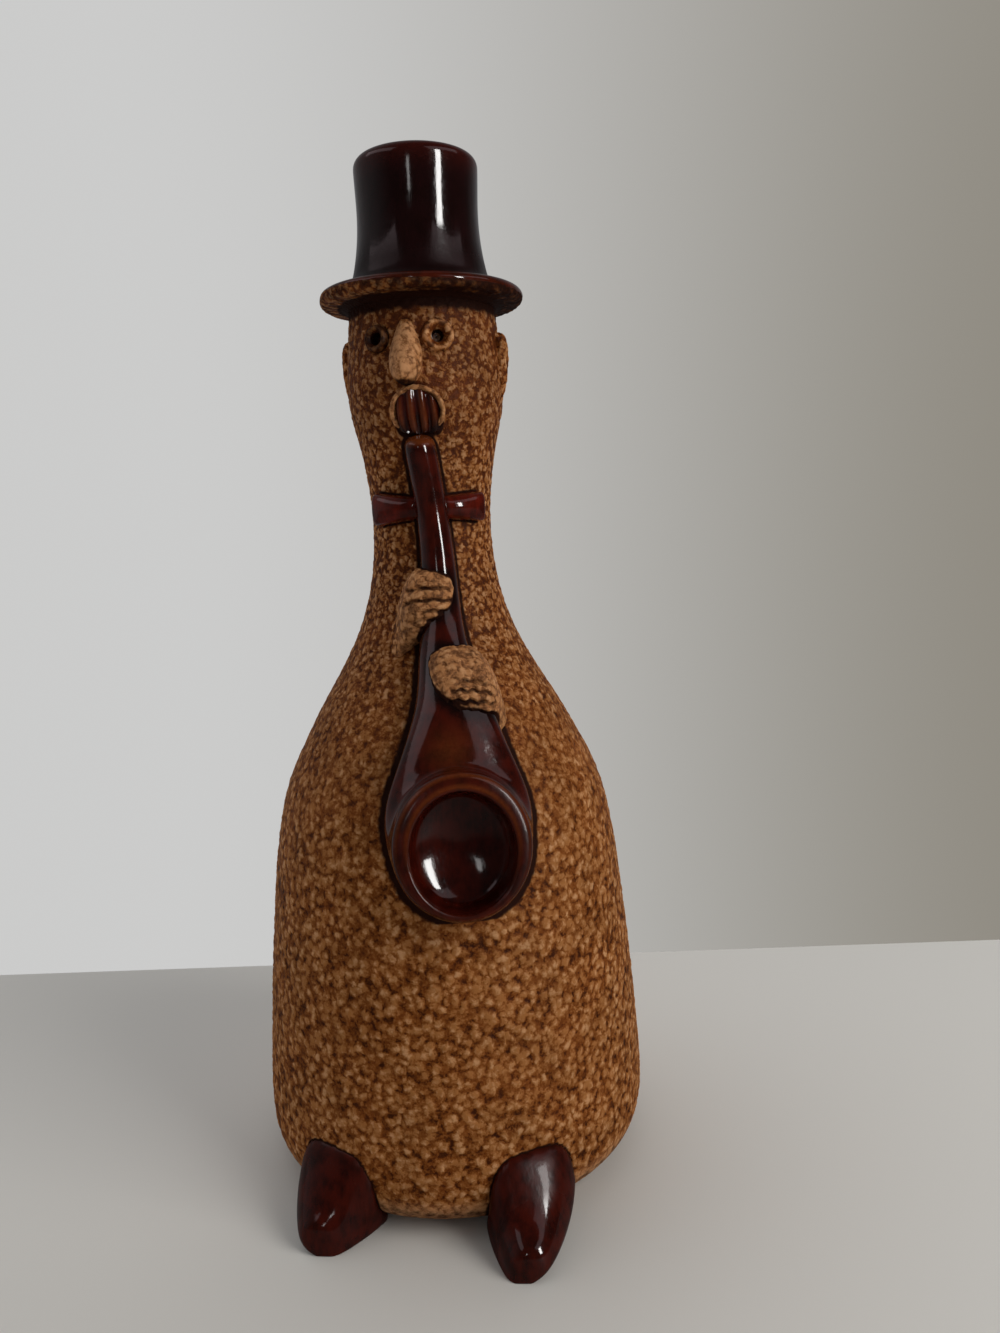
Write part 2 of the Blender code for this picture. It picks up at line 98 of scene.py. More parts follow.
def noise(tree, place, cell, detail=2.0, roughness=0.5, colour=False):
    node = addNode(tree, "ShaderNodeTexNoise")
    feed(tree, node.inputs["Vector"], place)
    node.inputs["Scale"].default_value = 1.0 / cell
    node.inputs["Detail"].default_value = detail
    node.inputs["Roughness"].default_value = roughness
    return node.outputs["Color" if colour else "Fac"]


# distance from the middle of the nearest cell
def cells(tree, place, cell):
    node = addNode(tree, "ShaderNodeTexVoronoi", feature="F1")
    feed(tree, node.inputs["Vector"], place)
    node.inputs["Scale"].default_value = 1.0 / cell
    return node.outputs["Distance"]


def blendValues(tree, share, first, second):
    node = addNode(tree, "ShaderNodeMix", data_type="FLOAT")
    feed(tree, node.inputs[0], share)
    feed(tree, node.inputs[2], first)
    feed(tree, node.inputs[3], second)
    return node.outputs[0]


def blendColours(tree, share, first, second):
    node = addNode(tree, "ShaderNodeMix", data_type="RGBA")
    feed(tree, node.inputs[0], share)
    feed(tree, node.inputs[6], first)
    feed(tree, node.inputs[7], second)
    return node.outputs[2]


def heightRamp(tree, position, low, high, toHigh=1.0):
    split = addNode(tree, "ShaderNodeSeparateXYZ", position)
    return remap(tree, split.outputs[2], low, high, 0.0, toHigh)


def objectPlace(tree):
    return addNode(tree, "ShaderNodeTexCoord").outputs["Object"]


# level directions at a turn: outwards from the axis, and sideways
def outwardAt(turn):
    return Vector((math.sin(math.radians(turn)), -math.cos(math.radians(turn)), 0.0))


def sidewaysAt(turn):
    return Vector((math.cos(math.radians(turn)), math.sin(math.radians(turn)), 0.0))


view = {
    "turn": 8.0,            # of the camera round the vase
    "distance": 0.2716,
    "height": 0.1792,
    "yaw": -4.405,
    "pitch": 8.935,
    "roll": 2.184,
    "lens": 26.47,
}


def viewPlace():
    return outwardAt(view["turn"]) * view["distance"] + Vector((0.0, 0.0, view["height"]))


def makeCamera():
    yaw, pitch, roll = (math.radians(view[k]) for k in ("yaw", "pitch", "roll"))
    ahead = Vector((math.sin(yaw) * math.cos(pitch), math.cos(yaw) * math.cos(pitch),
                    -math.sin(pitch)))
    right = Vector((math.cos(yaw), -math.sin(yaw), 0.0))
    up = right.cross(ahead)
    across = right * math.cos(roll) - up * math.sin(roll)
    above = right * math.sin(roll) + up * math.cos(roll)
    bpy.ops.object.camera_add()
    camera = bpy.context.object
    camera.name = "viewCamera"
    camera.matrix_world = (Matrix.Translation(viewPlace())
                           @ Matrix((across, above, -ahead)).transposed().to_4x4())
    camera.data.lens = view["lens"]
    camera.data.clip_start = 0.01
    bpy.context.scene.camera = camera


studio = {
    "floorReach": 1.6,
    "floorBack": (0.0915, 0.1200),      # where the floor ends behind, at 0.2 m left and right
    "floorColour": (0.72, 0.70, 0.655, 1.0),
    "floorMirrored": (0.20, 0.19, 0.18, 1.0),   # what the glaze mirrors of it
    "floorRoughness": 0.75,
    "airColour": (0.97, 0.98, 1.0),
    "airFrom": (0.8, -0.6),             # where the air is bright: shares of behind and of right
    "airTurns": (-0.35, 0.55),          # from dim to bright
    "wallTurns": (-0.40, 0.50),         # from the left wall to the right one
    "dimAir": 0.16,                     # from the front
    "brightAir": 0.80,                  # from behind and from the left
    "airMirrored": 0.28,                # share of it that the glaze mirrors
    "leftWall": (0.60, 0.60, 0.595, 1.0),       # the backdrop, from its left to its right: painted light on the left wall, painted shade on the right one
    "rightWall": (0.265, 0.245, 0.207, 1.0),
    # each lamp: turn and rise seen from the vase, distance, width, height, watts, colour,
    # whether it lights and whether it is mirrored
    "lamps": {
        "window": (62.0, 28.0, 1.00, 0.55, 0.70, 5.2, (1.0, 0.98, 0.95), True, False),
        "windowGlint": (50.0, 18.0, 0.95, 0.15, 0.44, 8.0, (1.0, 0.99, 0.97), False, True),
        "doorwayGlint": (-5.0, 16.5, 1.10, 0.08, 0.16, 0.30, (1.0, 0.99, 0.98), False, True),
        "leftCeiling": (-65.0, 42.0, 0.90, 0.85, 0.27, 0.80, (1.0, 0.80, 0.84), False, True),
        "rightCeiling": (64.0, 42.0, 0.90, 0.85, 0.27, 0.80, (1.0, 0.80, 0.84), False, True),
    },
    "lampsAimAt": (0.0, 0.0, 0.15),
}


def makeLamps():
    for name, measures in studio["lamps"].items():
        turn, rise, distance, width, tall, watts, colour, lights, mirrored = measures
        away = outwardAt(turn) * math.cos(math.radians(rise))
        away.z = math.sin(math.radians(rise))
        place = Vector(studio["lampsAimAt"]) + away * distance
        bpy.ops.object.light_add(type="AREA", location=place)
        lamp = bpy.context.object
        lamp.name = name
        lamp.rotation_euler = away.to_track_quat("Z", "Y").to_euler()
        lamp.data.shape = "RECTANGLE"
        lamp.data.size, lamp.data.size_y = width, tall
        lamp.data.energy = watts
        lamp.data.color = colour
        lamp.visible_diffuse, lamp.visible_glossy = lights, mirrored


# soft light all round, dim in front; the camera sees a pale backdrop, painted lighter on the left
# and in shade on the right
def makeAir():
    world = bpy.data.worlds.new("studioAir")
    bpy.context.scene.world = world
    world.use_nodes = True
    tree = world.node_tree
    air = tree.nodes["Background"]
    split = addNode(tree, "ShaderNodeSeparateXYZ",
                    addNode(tree, "ShaderNodeTexCoord").outputs["Generated"])
    back, right = studio["airFrom"]
    lean = plus(tree, times(tree, split.outputs[1], back), times(tree, split.outputs[0], right))
    lit = remap(tree, lean, *studio["airTurns"], studio["dimAir"], studio["brightAir"])
    lit = scaled(tree, studio["airColour"], lit)
    seen = blendColours(tree, remap(tree, split.outputs[0], *studio["wallTurns"]),
                        studio["leftWall"], studio["rightWall"])
    path = addNode(tree, "ShaderNodeLightPath").outputs
    lit = scaled(tree, lit, blendValues(tree, path["Is Glossy Ray"], 1.0, studio["airMirrored"]))
    feed(tree, air.inputs["Color"], blendColours(tree, path["Is Camera Ray"], lit, seen))
    bpy.context.scene.view_settings.view_transform = "Standard"


def deselectAll():
    if bpy.context.mode != "OBJECT":
        bpy.ops.object.mode_set(mode="OBJECT")
    bpy.ops.object.select_all(action="DESELECT")


def makeFloor():
    deselectAll()
    reach, (left, right) = studio["floorReach"], studio["floorBack"]
    slope = (right - left) / 0.4
    bpy.ops.mesh.primitive_plane_add(size=2 * reach)
    floor = bpy.context.object
    floor.name = "paleFloor"
    for corner in floor.data.vertices:
        if corner.co.y > 0:
            corner.co.y = (left + right) / 2 + slope * corner.co.x
    paint = bpy.data.materials.new("paleFloor")
    paint.use_nodes = True
    shader = paint.node_tree.nodes["Principled BSDF"]
    path = addNode(paint.node_tree, "ShaderNodeLightPath").outputs
    feed(paint.node_tree, shader.inputs["Base Color"], blendColours(
        paint.node_tree, path["Is Glossy Ray"], studio["floorColour"], studio["floorMirrored"]))
    shader.inputs["Roughness"].default_value = studio["floorRoughness"]
    floor.data.materials.append(paint)


makeCamera()
makeLamps()
makeAir()
makeFloor()

print("the vase's own measures")

body = {
    "height": 0.2330,           # to the underside of the brim
    "wall": 0.0045,
    "floor": 0.0060,
    "hemRadius": 0.0540,
    "hemAcross": 0.0165,        # rounding under the hem
    "hemUp": 0.0130,
    "stations": (
        (0.0558, 0.0540), (0.0970, 0.0540), (0.2900, 0.0503), (0.4450, 0.0448),
        (0.5320, 0.0353), (0.6240, 0.0229), (0.6900, 0.0177), (0.7640, 0.0161),
        (0.8350, 0.0178), (0.8970, 0.0208), (0.9650, 0.0200), (1.0000, 0.0193),
    ),
    "hatFloor": 0.2214,
    "mouthRadius": 0.0110,
}
sink = 0.0020                   # how deep what is luted on goes into the wall


def smoothThrough(stations, at):
    places = [s[0] for s in stations]
    values = [s[1] for s in stations]
    at = min(max(at, places[0]), places[-1])
    i = 0
    while i < len(places) - 2 and at > places[i + 1]:
        i += 1

    def slope(k):
        low, high = max(k - 1, 0), min(k + 1, len(places) - 1)
        return (values[high] - values[low]) / (places[high] - places[low])

    span = places[i + 1] - places[i]
    t = (at - places[i]) / span
    return ((2 * t**3 - 3 * t**2 + 1) * values[i] + (t**3 - 2 * t**2 + t) * span * slope(i)
            + (3 * t**2 - 2 * t**3) * values[i + 1] + (t**3 - t**2) * span * slope(i + 1))


def bodyRadius(height):
    if height < body["hemUp"]:
        drop = 1.0 - max(height, 0.0) / body["hemUp"]
        return body["hemRadius"] - body["hemAcross"] * (1.0 - math.sqrt(1.0 - drop * drop))
    return smoothThrough(body["stations"], height / body["height"])


def bodyNormal(height):
    step = 0.0001
    slope = (bodyRadius(height + step) - bodyRadius(height - step)) / (2 * step)
    length = math.hypot(1.0, slope)
    return 1.0 / length, -slope / length


# a point off the body's skin: lift along its normal, across along the skin
def onBody(turn, height, lift=0.0, across=0.0):
    radius = bodyRadius(height)
    angle = math.radians(turn) + across / radius
    outward, upward = bodyNormal(height)
    radius += lift * outward
    return Vector((radius * math.sin(angle), -radius * math.cos(angle), height + lift * upward))


def roundAngles(count):
    return [2 * math.pi * i / count for i in range(count)]


def roundRing(radius, height, count):
    return [Vector((radius * math.sin(a), -radius * math.cos(a), height))
            for a in roundAngles(count)]


def arcPoints(centreR, centreZ, sizeR, sizeZ, start, end, steps):
    return [(centreR + sizeR * math.cos(a), centreZ + sizeZ * math.sin(a))
            for a in (math.radians(start + (end - start) * i / steps) for i in range(steps + 1))]


def placeRow(bm, row, ring):
    for index, point in zip(row, ring):
        bm.verts[index].co = point


# extrudes the selected loop and sets it on the next ring; returns its vertices
def extrudeRow(piece, row, ring):
    bpy.ops.mesh.extrude_edges_move()
    bm = bmesh.from_edit_mesh(piece.data)
    bm.verts.ensure_lookup_table()
    following = []
    for index in row:
        vert = bm.verts[index]
        following.append(next(e.other_vert(vert) for e in vert.link_edges
                              if e.other_vert(vert).select).index)
    placeRow(bm, following, ring)
    bmesh.update_edit_mesh(piece.data)
    return following


def selectRow(piece, row):
    bpy.ops.mesh.select_all(action="DESELECT")
    bm = bmesh.from_edit_mesh(piece.data)
    bm.verts.ensure_lookup_table()
    wanted = set(row)
    for index in row:
        bm.verts[index].select = True
    for edge in bm.edges:
        edge.select = edge.verts[0].index in wanted and edge.verts[1].index in wanted
    bmesh.update_edit_mesh(piece.data)


# a circle, extruded ring by ring through the given places; closed at both ends with a tip
# or a face, left open at its end, or closed to a torus
def drawThrough(name, rings, startTip=None, endTip=None, openEnd=False, ringClosed=False):
    deselectAll()
    bpy.ops.mesh.primitive_circle_add(vertices=len(rings[0]), radius=0.01, enter_editmode=True)
    piece = bpy.context.object
    piece.name = piece.data.name = name
    bpy.ops.mesh.select_mode(type="EDGE")
    bpy.ops.mesh.select_all(action="SELECT")
    bm = bmesh.from_edit_mesh(piece.data)
    bm.verts.ensure_lookup_table()
    row = list(range(len(rings[0])))
    first = row
    placeRow(bm, row, rings[0])
    for ring in rings[1:]:
        row = extrudeRow(piece, row, ring)
    if ringClosed:
        selectRow(piece, row + first)
        bpy.ops.mesh.bridge_edge_loops()
    ends = [(row, endTip), (first, startTip)]
    for loop, tip in [] if ringClosed else ends[1:] if openEnd else ends:
        selectRow(piece, loop)
        if tip is None:
            bpy.ops.mesh.edge_face_add()
        else:
            extrudeRow(piece, loop, [tip] * len(loop))
            bpy.ops.mesh.merge(type="COLLAPSE")
    bpy.ops.mesh.select_all(action="SELECT")
    bpy.ops.mesh.normals_make_consistent(inside=False)
    bpy.ops.object.mode_set(mode="OBJECT")
    return piece


def chooseOnly(piece):
    deselectAll()
    piece.select_set(True)
    bpy.context.view_layer.objects.active = piece


def applyModifier(piece, kind, **settings):
    chooseOnly(piece)
    bpy.ops.object.modifier_add(type=kind)
    modifier = piece.modifiers[-1]
    for key, value in settings.items():
        setattr(modifier, key, value)
    bpy.ops.object.modifier_apply(modifier=modifier.name)


def smoothOut(piece, levels):
    applyModifier(piece, "SUBSURF", levels=levels, render_levels=levels)
    bpy.ops.object.shade_smooth()
    return piece


# 0 at the start and 1 a width further on, also downwards
def ramp(values, start, width):
    return np.clip((values - start) / width, 0, 1)


# 1 in the middle, fading on both sides
def peak(values, middle, width):
    return np.exp(-((values - middle) / width) ** 2)


def vertexPlaces(piece):
    places = np.empty(len(piece.data.vertices) * 3, np.float32)
    piece.data.vertices.foreach_get("co", places)
    return places.reshape(-1, 3).astype(float)


def writeMask(piece, name, values):
    mask = piece.data.attributes.get(name) or piece.data.attributes.new(name, "FLOAT", "POINT")
    mask.data.foreach_set("value", np.clip(values, 0.0, 1.0).astype(np.float32))


# mask of the thin places: 1 on outward edges, 0 on flats and in hollows
def convexEdges(piece, spread=3, gain=1.0):
    mesh = piece.data
    places = vertexPlaces(piece)
    normals = np.array([n.vector for n in mesh.vertex_normals], float)
    ends = np.empty(len(mesh.edges) * 2, np.int32)
    mesh.edges.foreach_get("vertices", ends)
    ends = ends.reshape(-1, 2)
    gap = places[ends[:, 0]] - places[ends[:, 1]]
    length = np.maximum(np.linalg.norm(gap, axis=1), 1e-6)
    bend = np.zeros(len(places))
    count = np.zeros(len(places))
    for k, sign in ((0, 1.0), (1, -1.0)):
        slope = sign * (gap * normals[ends[:, k]]).sum(1) / (length * length)
        np.add.at(bend, ends[:, k], slope)
        np.add.at(count, ends[:, k], 1.0)
    bend /= np.maximum(count, 1.0)
    for _ in range(spread):
        total = bend.copy()
        np.add.at(total, ends[:, 0], bend[ends[:, 1]])
        np.add.at(total, ends[:, 1], bend[ends[:, 0]])
        bend = total / (count + 1.0)
    return np.clip(bend * gain / 1000.0, 0.0, 1.0)


print("surface patterns")

crackle = {
    # the coarse pattern of the belly and the fine one of the neck, head and hands: size of a
    # cell, drift and size of its lumps in millimetres, shares of the pillows and the fibres,
    # depth of the relief, and the heights where the colour turns to slope, top and pale
    "coarse": {"cell": 2.25, "drift": 2.7, "lump": 1.5, "pillows": 0.62, "fibres": 0.35,
               "depth": 0.00042, "slope": (0.0, 0.30), "top": (0.23, 0.66), "pale": (0.50, 0.88)},
    "fine": {"cell": 1.75, "drift": 2.4, "lump": 1.0, "pillows": 0.60, "fibres": 0.75,
             "depth": 0.00034, "slope": (0.15, 0.42), "top": (0.35, 0.60), "pale": (0.48, 0.75)},
    "pillow": (0.10, 0.80),         # a cell's rounding, from its middle to its edge
    "lumps": (0.28, 0.72),
    "driftCell": 2.4,
    "fibreCell": 0.62,
    "fibreStretch": 0.30,
    "fibreSlant": -35.0,
    "fibreDrift": 4.0,
    "grainCell": 0.55,
    "fleckCell": 2.0,
    "blotchCell": 11.0,
    "change": (0.080, 0.170),       # heights between which the pattern turns to fine
    "head": (0.185, 0.212),         # heights between which the clay gets redder
    "headRedness": 0.30,
    "fissureColour": (0.042, 0.0095, 0.0016, 1.0),
    "slopeColour": (0.182, 0.049, 0.0066, 1.0),
    "topColour": (0.340, 0.134, 0.038, 1.0),
    "paleColour": (0.535, 0.277, 0.126, 1.0),
    "wornLowColour": (0.190, 0.064, 0.018, 1.0),
    "wornColour": (0.530, 0.262, 0.118, 1.0),
    "worn": (-0.22, 0.58),
    "burntColour": (0.128, 0.029, 0.006, 1.0),
    # the dark of real stains and pooled glaze, and of painted shade and painted shadow
    "stainAndShadeColour": (0.020, 0.0046, 0.0016, 1.0),
    "stainAndShadeEdge": (0.25, 0.80),
    "stainAndShadeRoughness": 0.75,
    "roughness": (0.46, 0.66),      # in the fissures and on the tops
}


# nodes that carving and colour share: height of the crackle, 0 in a fissure to about 1
def crackleField(tree, position, fineness):
    c = crackle
    place = scaled(tree, position, 1000.0)
    drift = vectors(tree, "SUBTRACT", noise(tree, place, c["driftCell"], 3.0, 0.62, True),
                    (0.5, 0.5, 0.5))
    slant = addNode(tree, "ShaderNodeVectorRotate", rotation_type="Y_AXIS")
    feed(tree, slant.inputs["Vector"], vectors(tree, "ADD", place,
                                               scaled(tree, drift, c["fibreDrift"])))
    slant.inputs["Angle"].default_value = math.radians(c["fibreSlant"])
    stretched = vectors(tree, "MULTIPLY", slant.outputs[0], (c["fibreStretch"], 1.0, 1.0))
    fibre = minus(tree, noise(tree, stretched, c["fibreCell"], 2.0, 0.6), 0.5)
    heights = []
    for kind in (c["coarse"], c["fine"]):
        pushed = vectors(tree, "ADD", place, scaled(tree, drift, kind["drift"]))
        pillow = remap(tree, cells(tree, pushed, kind["cell"]), *c["pillow"], 1.0, 0.0)
        rough = remap(tree, noise(tree, pushed, kind["lump"], 2.0, 0.55), *c["lumps"], 0.0,
                      1.0 - kind["pillows"])
        heights.append(plus(tree, times(tree, pillow, kind["pillows"]), rough))
    fibres = blendValues(tree, fineness, c["coarse"]["fibres"], c["fine"]["fibres"])
    height = plus(tree, blendValues(tree, fineness, *heights), times(tree, fibre, fibres))
    return maths(tree, "MINIMUM", maths(tree, "MAXIMUM", height, 0.0), 1.0), place


def heightFineness(tree, position):
    return heightRamp(tree, position, *crackle["change"])


# geometry nodes that press the crackle into a skin, never out of it
def carvingNodes(name, fineness=None):
    tree = bpy.data.node_groups.new(name, "GeometryNodeTree")
    for side in ("INPUT", "OUTPUT"):
        tree.interface.new_socket(name="Geometry", in_out=side, socket_type="NodeSocketGeometry")
    enter, leave = addNode(tree, "NodeGroupInput"), addNode(tree, "NodeGroupOutput")
    position = addNode(tree, "GeometryNodeInputPosition").outputs[0]
    normal = addNode(tree, "GeometryNodeInputNormal").outputs[0]
    keep = addNode(tree, "GeometryNodeInputNamedAttribute", data_type="FLOAT")
    keep.inputs["Name"].default_value = "carve"
    share = heightFineness(tree, position) if fineness is None else fineness
    height, _ = crackleField(tree, position, share)
    depth = blendValues(tree, share, crackle["coarse"]["depth"], crackle["fine"]["depth"])
    press = times(tree, times(tree, minus(tree, height, 1.0), depth), keep.outputs[0])
    move = addNode(tree, "GeometryNodeSetPosition")
    feed(tree, move.inputs["Geometry"], enter.outputs[0])
    feed(tree, move.inputs["Offset"], scaled(tree, normal, press))
    feed(tree, leave.inputs[0], move.outputs[0])
    return tree


def carve(piece, nodes):
    applyModifier(piece, "NODES", node_group=nodes)


# the same share of the fine relief all over
def carveEvenly(piece, share):
    writeMask(piece, "carve", np.full(len(piece.data.vertices), share))
    carve(piece, fineCarving)
    return piece


def newGroup(name, inputs):
    group = bpy.data.node_groups.new(name, "ShaderNodeTree")
    outputs = [("Color", "Color", None), ("Roughness", "Float", None), ("Height", "Float", None)]
    for side, sockets in (("INPUT", [("Position", "Vector", None)] + inputs),
                          ("OUTPUT", outputs)):
        for label, kind, value in sockets:
            socket = group.interface.new_socket(name=label, in_out=side,
                                                socket_type="NodeSocket" + kind)
            if value is not None:
                socket.default_value = value
    enter, leave = addNode(group, "NodeGroupInput"), addNode(group, "NodeGroupOutput")
    return group, enter.outputs, leave.inputs


def crackledClayGroup():
    group, given, result = newGroup("crackledClay", [
        ("Fineness", "Float", 1.0), ("Stain", "Float", 0.0), ("Paleness", "Float", 0.0),
        ("Redness", "Float", 0.0)])
    c = crackle
    height, place = crackleField(group, given["Position"], given["Fineness"])
    grain = noise(group, place, c["grainCell"], 2.0, 0.6)
    blotch = noise(group, place, c["blotchCell"], 3.0, 0.55)
    fleck = noise(group, place, c["fleckCell"], 2.0, 0.6)

    # a step of the colour, harder in the fine pattern; grain makes it ragged
    def step(kind, raggedness=0.0):
        ragged = times(group, minus(group, grain, 0.5), raggedness)
        ends = [blendValues(group, given["Fineness"], *both)
                for both in zip(c["coarse"][kind], c["fine"][kind])]
        return remap(group, plus(group, height, ragged), *ends)

    top = step("top", 0.6)
    colour = blendColours(group, step("slope", 0.4), c["fissureColour"], c["slopeColour"])
    colour = blendColours(group, top, colour, c["topColour"])
    pale = times(group, step("pale"), remap(group, fleck, 0.38, 0.62))
    colour = blendColours(group, pale, colour, c["paleColour"])

    grained = plus(group, height, minus(group, grain, 0.5))
    worn = blendColours(group, remap(group, grained, *c["worn"]), c["wornLowColour"],
                        c["wornColour"])
    colour = blendColours(group, given["Paleness"], colour, worn)

    burnt = plus(group, remap(group, blotch, 0.45, 0.75, 0.0, 0.30), given["Redness"], True)
    burnt = times(group, burnt, remap(group, grain, 0.38, 0.62, 1.0, 0.40))
    burnt = times(group, burnt, remap(group, top, 0.0, 1.0, 1.0, 0.62))
    colour = blendColours(group, burnt, colour, c["burntColour"])
    lit = addNode(group, "ShaderNodeHueSaturation")
    feed(group, lit.inputs["Value"], times(
        group, remap(group, blotch, 0.25, 0.75, 0.90, 1.18),
        remap(group, given["Redness"], 0.40, 0.70, 1.0, 0.85)))
    feed(group, lit.inputs["Color"], colour)

    # darkened by the stain mask: real stains and pooled glaze, and painted shade and painted shadow
    flecked = plus(group, given["Stain"], times(group, minus(group, fleck, 0.5), 0.8))
    stainAndShade = remap(group, flecked, *c["stainAndShadeEdge"])
    roughness = remap(group, height, 0.0, 0.6, *c["roughness"])
    feed(group, result["Color"], blendColours(group, stainAndShade, lit.outputs[0], c["stainAndShadeColour"]))
    feed(group, result["Roughness"], blendValues(group, stainAndShade, roughness, c["stainAndShadeRoughness"]))
    feed(group, result["Height"], plus(group, height, times(group, grain, 0.35)))
    return group


glaze = {
    "cloudCell": 5.0,               # millimetres
    "speckCell": 0.7,
    "runCell": 1.6,
    "runStretch": 0.22,             # of the runs, downwards
    "pooled": (0.38, 0.66),
    "pooledShare": 0.75,
    "roughness": (0.09, 0.17),
    "thinRoughness": 0.12,          # more of it where the glaze is thin
    "satinRoughness": 0.34,
    "coat": 0.40,
    "specular": 0.11,
    "deepColour": (0.052, 0.0050, 0.0020, 1.0),
    "thinColour": (0.18, 0.040, 0.007, 1.0),
    "blackColour": (0.0060, 0.0012, 0.0008, 1.0),
    "bowColour": (0.110, 0.0075, 0.0030, 1.0),
    "hatColour": (0.0110, 0.0022, 0.0022, 1.0),
    "hatThinColour": (0.090, 0.0090, 0.0040, 1.0),
}


def pooledGlazeGroup():
    group, given, result = newGroup("pooledGlaze", [
        ("Thin", "Float", 0.0), ("Dark", "Float", 0.0),
        ("Deep Color", "Color", glaze["deepColour"]), ("Thin Color", "Color", glaze["thinColour"])])
    g = glaze
    place = scaled(group, given["Position"], 1000.0)
    cloud = noise(group, place, g["cloudCell"], 3.0, 0.5)
    speck = noise(group, place, g["speckCell"], 2.0, 0.6)
    stretched = vectors(group, "MULTIPLY", place, (1.0, 1.0, g["runStretch"]))
    run = noise(group, stretched, g["runCell"], 3.0, 0.55)
    pooled = remap(group, plus(group, times(group, cloud, 0.6), times(group, run, 0.4)),
                   *g["pooled"])
    colour = blendColours(group, times(group, pooled, g["pooledShare"]), given["Deep Color"],
                          g["blackColour"])
    specks = times(group, minus(group, speck, 0.5), times(group, given["Thin"], 1.2))
    thin = plus(group, given["Thin"], specks, True)
    colour = blendColours(group, thin, colour, given["Thin Color"])
    colour = blendColours(group, given["Dark"], colour, g["blackColour"])
    roughness = remap(group, speck, 0.3, 0.8, *g["roughness"])
    feed(group, result["Color"], colour)
    feed(group, result["Roughness"], plus(group, roughness, times(group, thin,
                                                                  g["thinRoughness"])))
    feed(group, result["Height"], plus(group, cloud, times(group, run, 0.35)))
    return group


def maskOf(tree, name):
    node = addNode(tree, "ShaderNodeAttribute", attribute_name=name)
    return node.outputs["Fac"]


def newMaterial(name):
    material = bpy.data.materials.new(name)
    material.use_nodes = True
    tree = material.node_tree
    return material, tree, tree.nodes["Principled BSDF"]


def placeGroup(tree, group, **values):
    node = addNode(tree, "ShaderNodeGroup", node_tree=group)
    feed(tree, node.inputs["Position"], objectPlace(tree))
    for label, value in values.items():
        feed(tree, node.inputs[label.replace("_", " ")], value)
    return node


# look has the colour, roughness and height
def setShader(tree, shader, look, specular, distance, strength=1.0, coat=0.0, coatRoughness=0.03):
    feed(tree, shader.inputs["Base Color"], look["Color"])
    feed(tree, shader.inputs["Roughness"], look["Roughness"])
    feed(tree, shader.inputs["Coat Weight"], coat)
    shader.inputs["Coat Roughness"].default_value = coatRoughness
    shader.inputs["Specular IOR Level"].default_value = specular
    bump = addNode(tree, "ShaderNodeBump")
    bump.inputs["Strength"].default_value = strength
    bump.inputs["Distance"].default_value = distance
    feed(tree, bump.inputs["Height"], look["Height"])
    feed(tree, shader.inputs["Normal"], bump.outputs["Normal"])


def makeClay(name, fineness, paleness, redness, distance):
    material, tree, shader = newMaterial(name)
    if isinstance(paleness, str):
        paleness = maskOf(tree, paleness)
    if fineness is None:
        position = objectPlace(tree)
        fineness = heightFineness(tree, position)
        redness = plus(tree, times(tree, fineness, redness),
                       heightRamp(tree, position, *crackle["head"], crackle["headRedness"]))
    node = placeGroup(tree, clayGroup, Fineness=fineness, Paleness=paleness, Redness=redness,
                      Stain=maskOf(tree, "stainAndShade"))
    setShader(tree, shader, node.outputs, 0.05, distance)
    return material


def makeGlaze(name, dark=False, satin=False, kind=("deepColour", "thinColour")):
    material, tree, shader = newMaterial(name)
    shine = minus(tree, 1.0, maskOf(tree, "satin") if satin else 0.0)
    node = placeGroup(tree, glazeGroup, Thin=maskOf(tree, "thin"),
                      Dark=maskOf(tree, "dark") if dark else 0.0, Deep_Color=glaze[kind[0]],
                      Thin_Color=glaze[kind[1]])
    look = dict(node.outputs.items())
    look["Roughness"] = blendValues(tree, shine, glaze["satinRoughness"], look["Roughness"])
    setShader(tree, shader, look, glaze["specular"], 0.00025, 0.5,
              times(tree, shine, glaze["coat"]), 0.07)
    return material


clayGroup = crackledClayGroup()
glazeGroup = pooledGlazeGroup()
bodyClay = makeClay("bodyClay", None, "worn", 0.40, 0.00022)
wornClay = makeClay("wornClay", 1.0, "worn", 0.0, 0.00020)
lipClay = makeClay("lipClay", 1.0, 0.45, 0.0, 0.00010)
handClay = makeClay("handClay", 1.0, "worn", 0.0, 0.00018)
earClay = makeClay("earClay", 1.0, 0.0, 0.30, 0.00018)
hornGlaze = makeGlaze("hornGlaze", dark=True, satin=True)
hatGlaze = makeGlaze("hatGlaze", dark=True, satin=True,
                     kind=("hatColour", "hatThinColour"))
bowGlaze = makeGlaze("bowGlaze", kind=("bowColour", "thinColour"))
mouthGlaze = makeGlaze("mouthGlaze", dark=True)
shoeGlaze = makeGlaze("shoeGlaze", satin=True)


def makeEyeMaterial():
    material, tree, shader = newMaterial("eyeClay")
    clay = placeGroup(tree, clayGroup, Fineness=1.0, Paleness=maskOf(tree, "thin"),
                      Redness=maskOf(tree, "inward"), Stain=maskOf(tree, "stainAndShade")).outputs
    gloss = placeGroup(tree, glazeGroup, Thin=0.0, Dark=1.0).outputs
    share = maskOf(tree, "dark")
    look = {"Color": blendColours(tree, share, clay["Color"], gloss["Color"]),
            "Roughness": blendValues(tree, share, 0.5, gloss["Roughness"]),
            "Height": clay["Height"]}
    setShader(tree, shader, look, 0.06, 0.00014, coat=times(tree, share, 0.7))
    return material


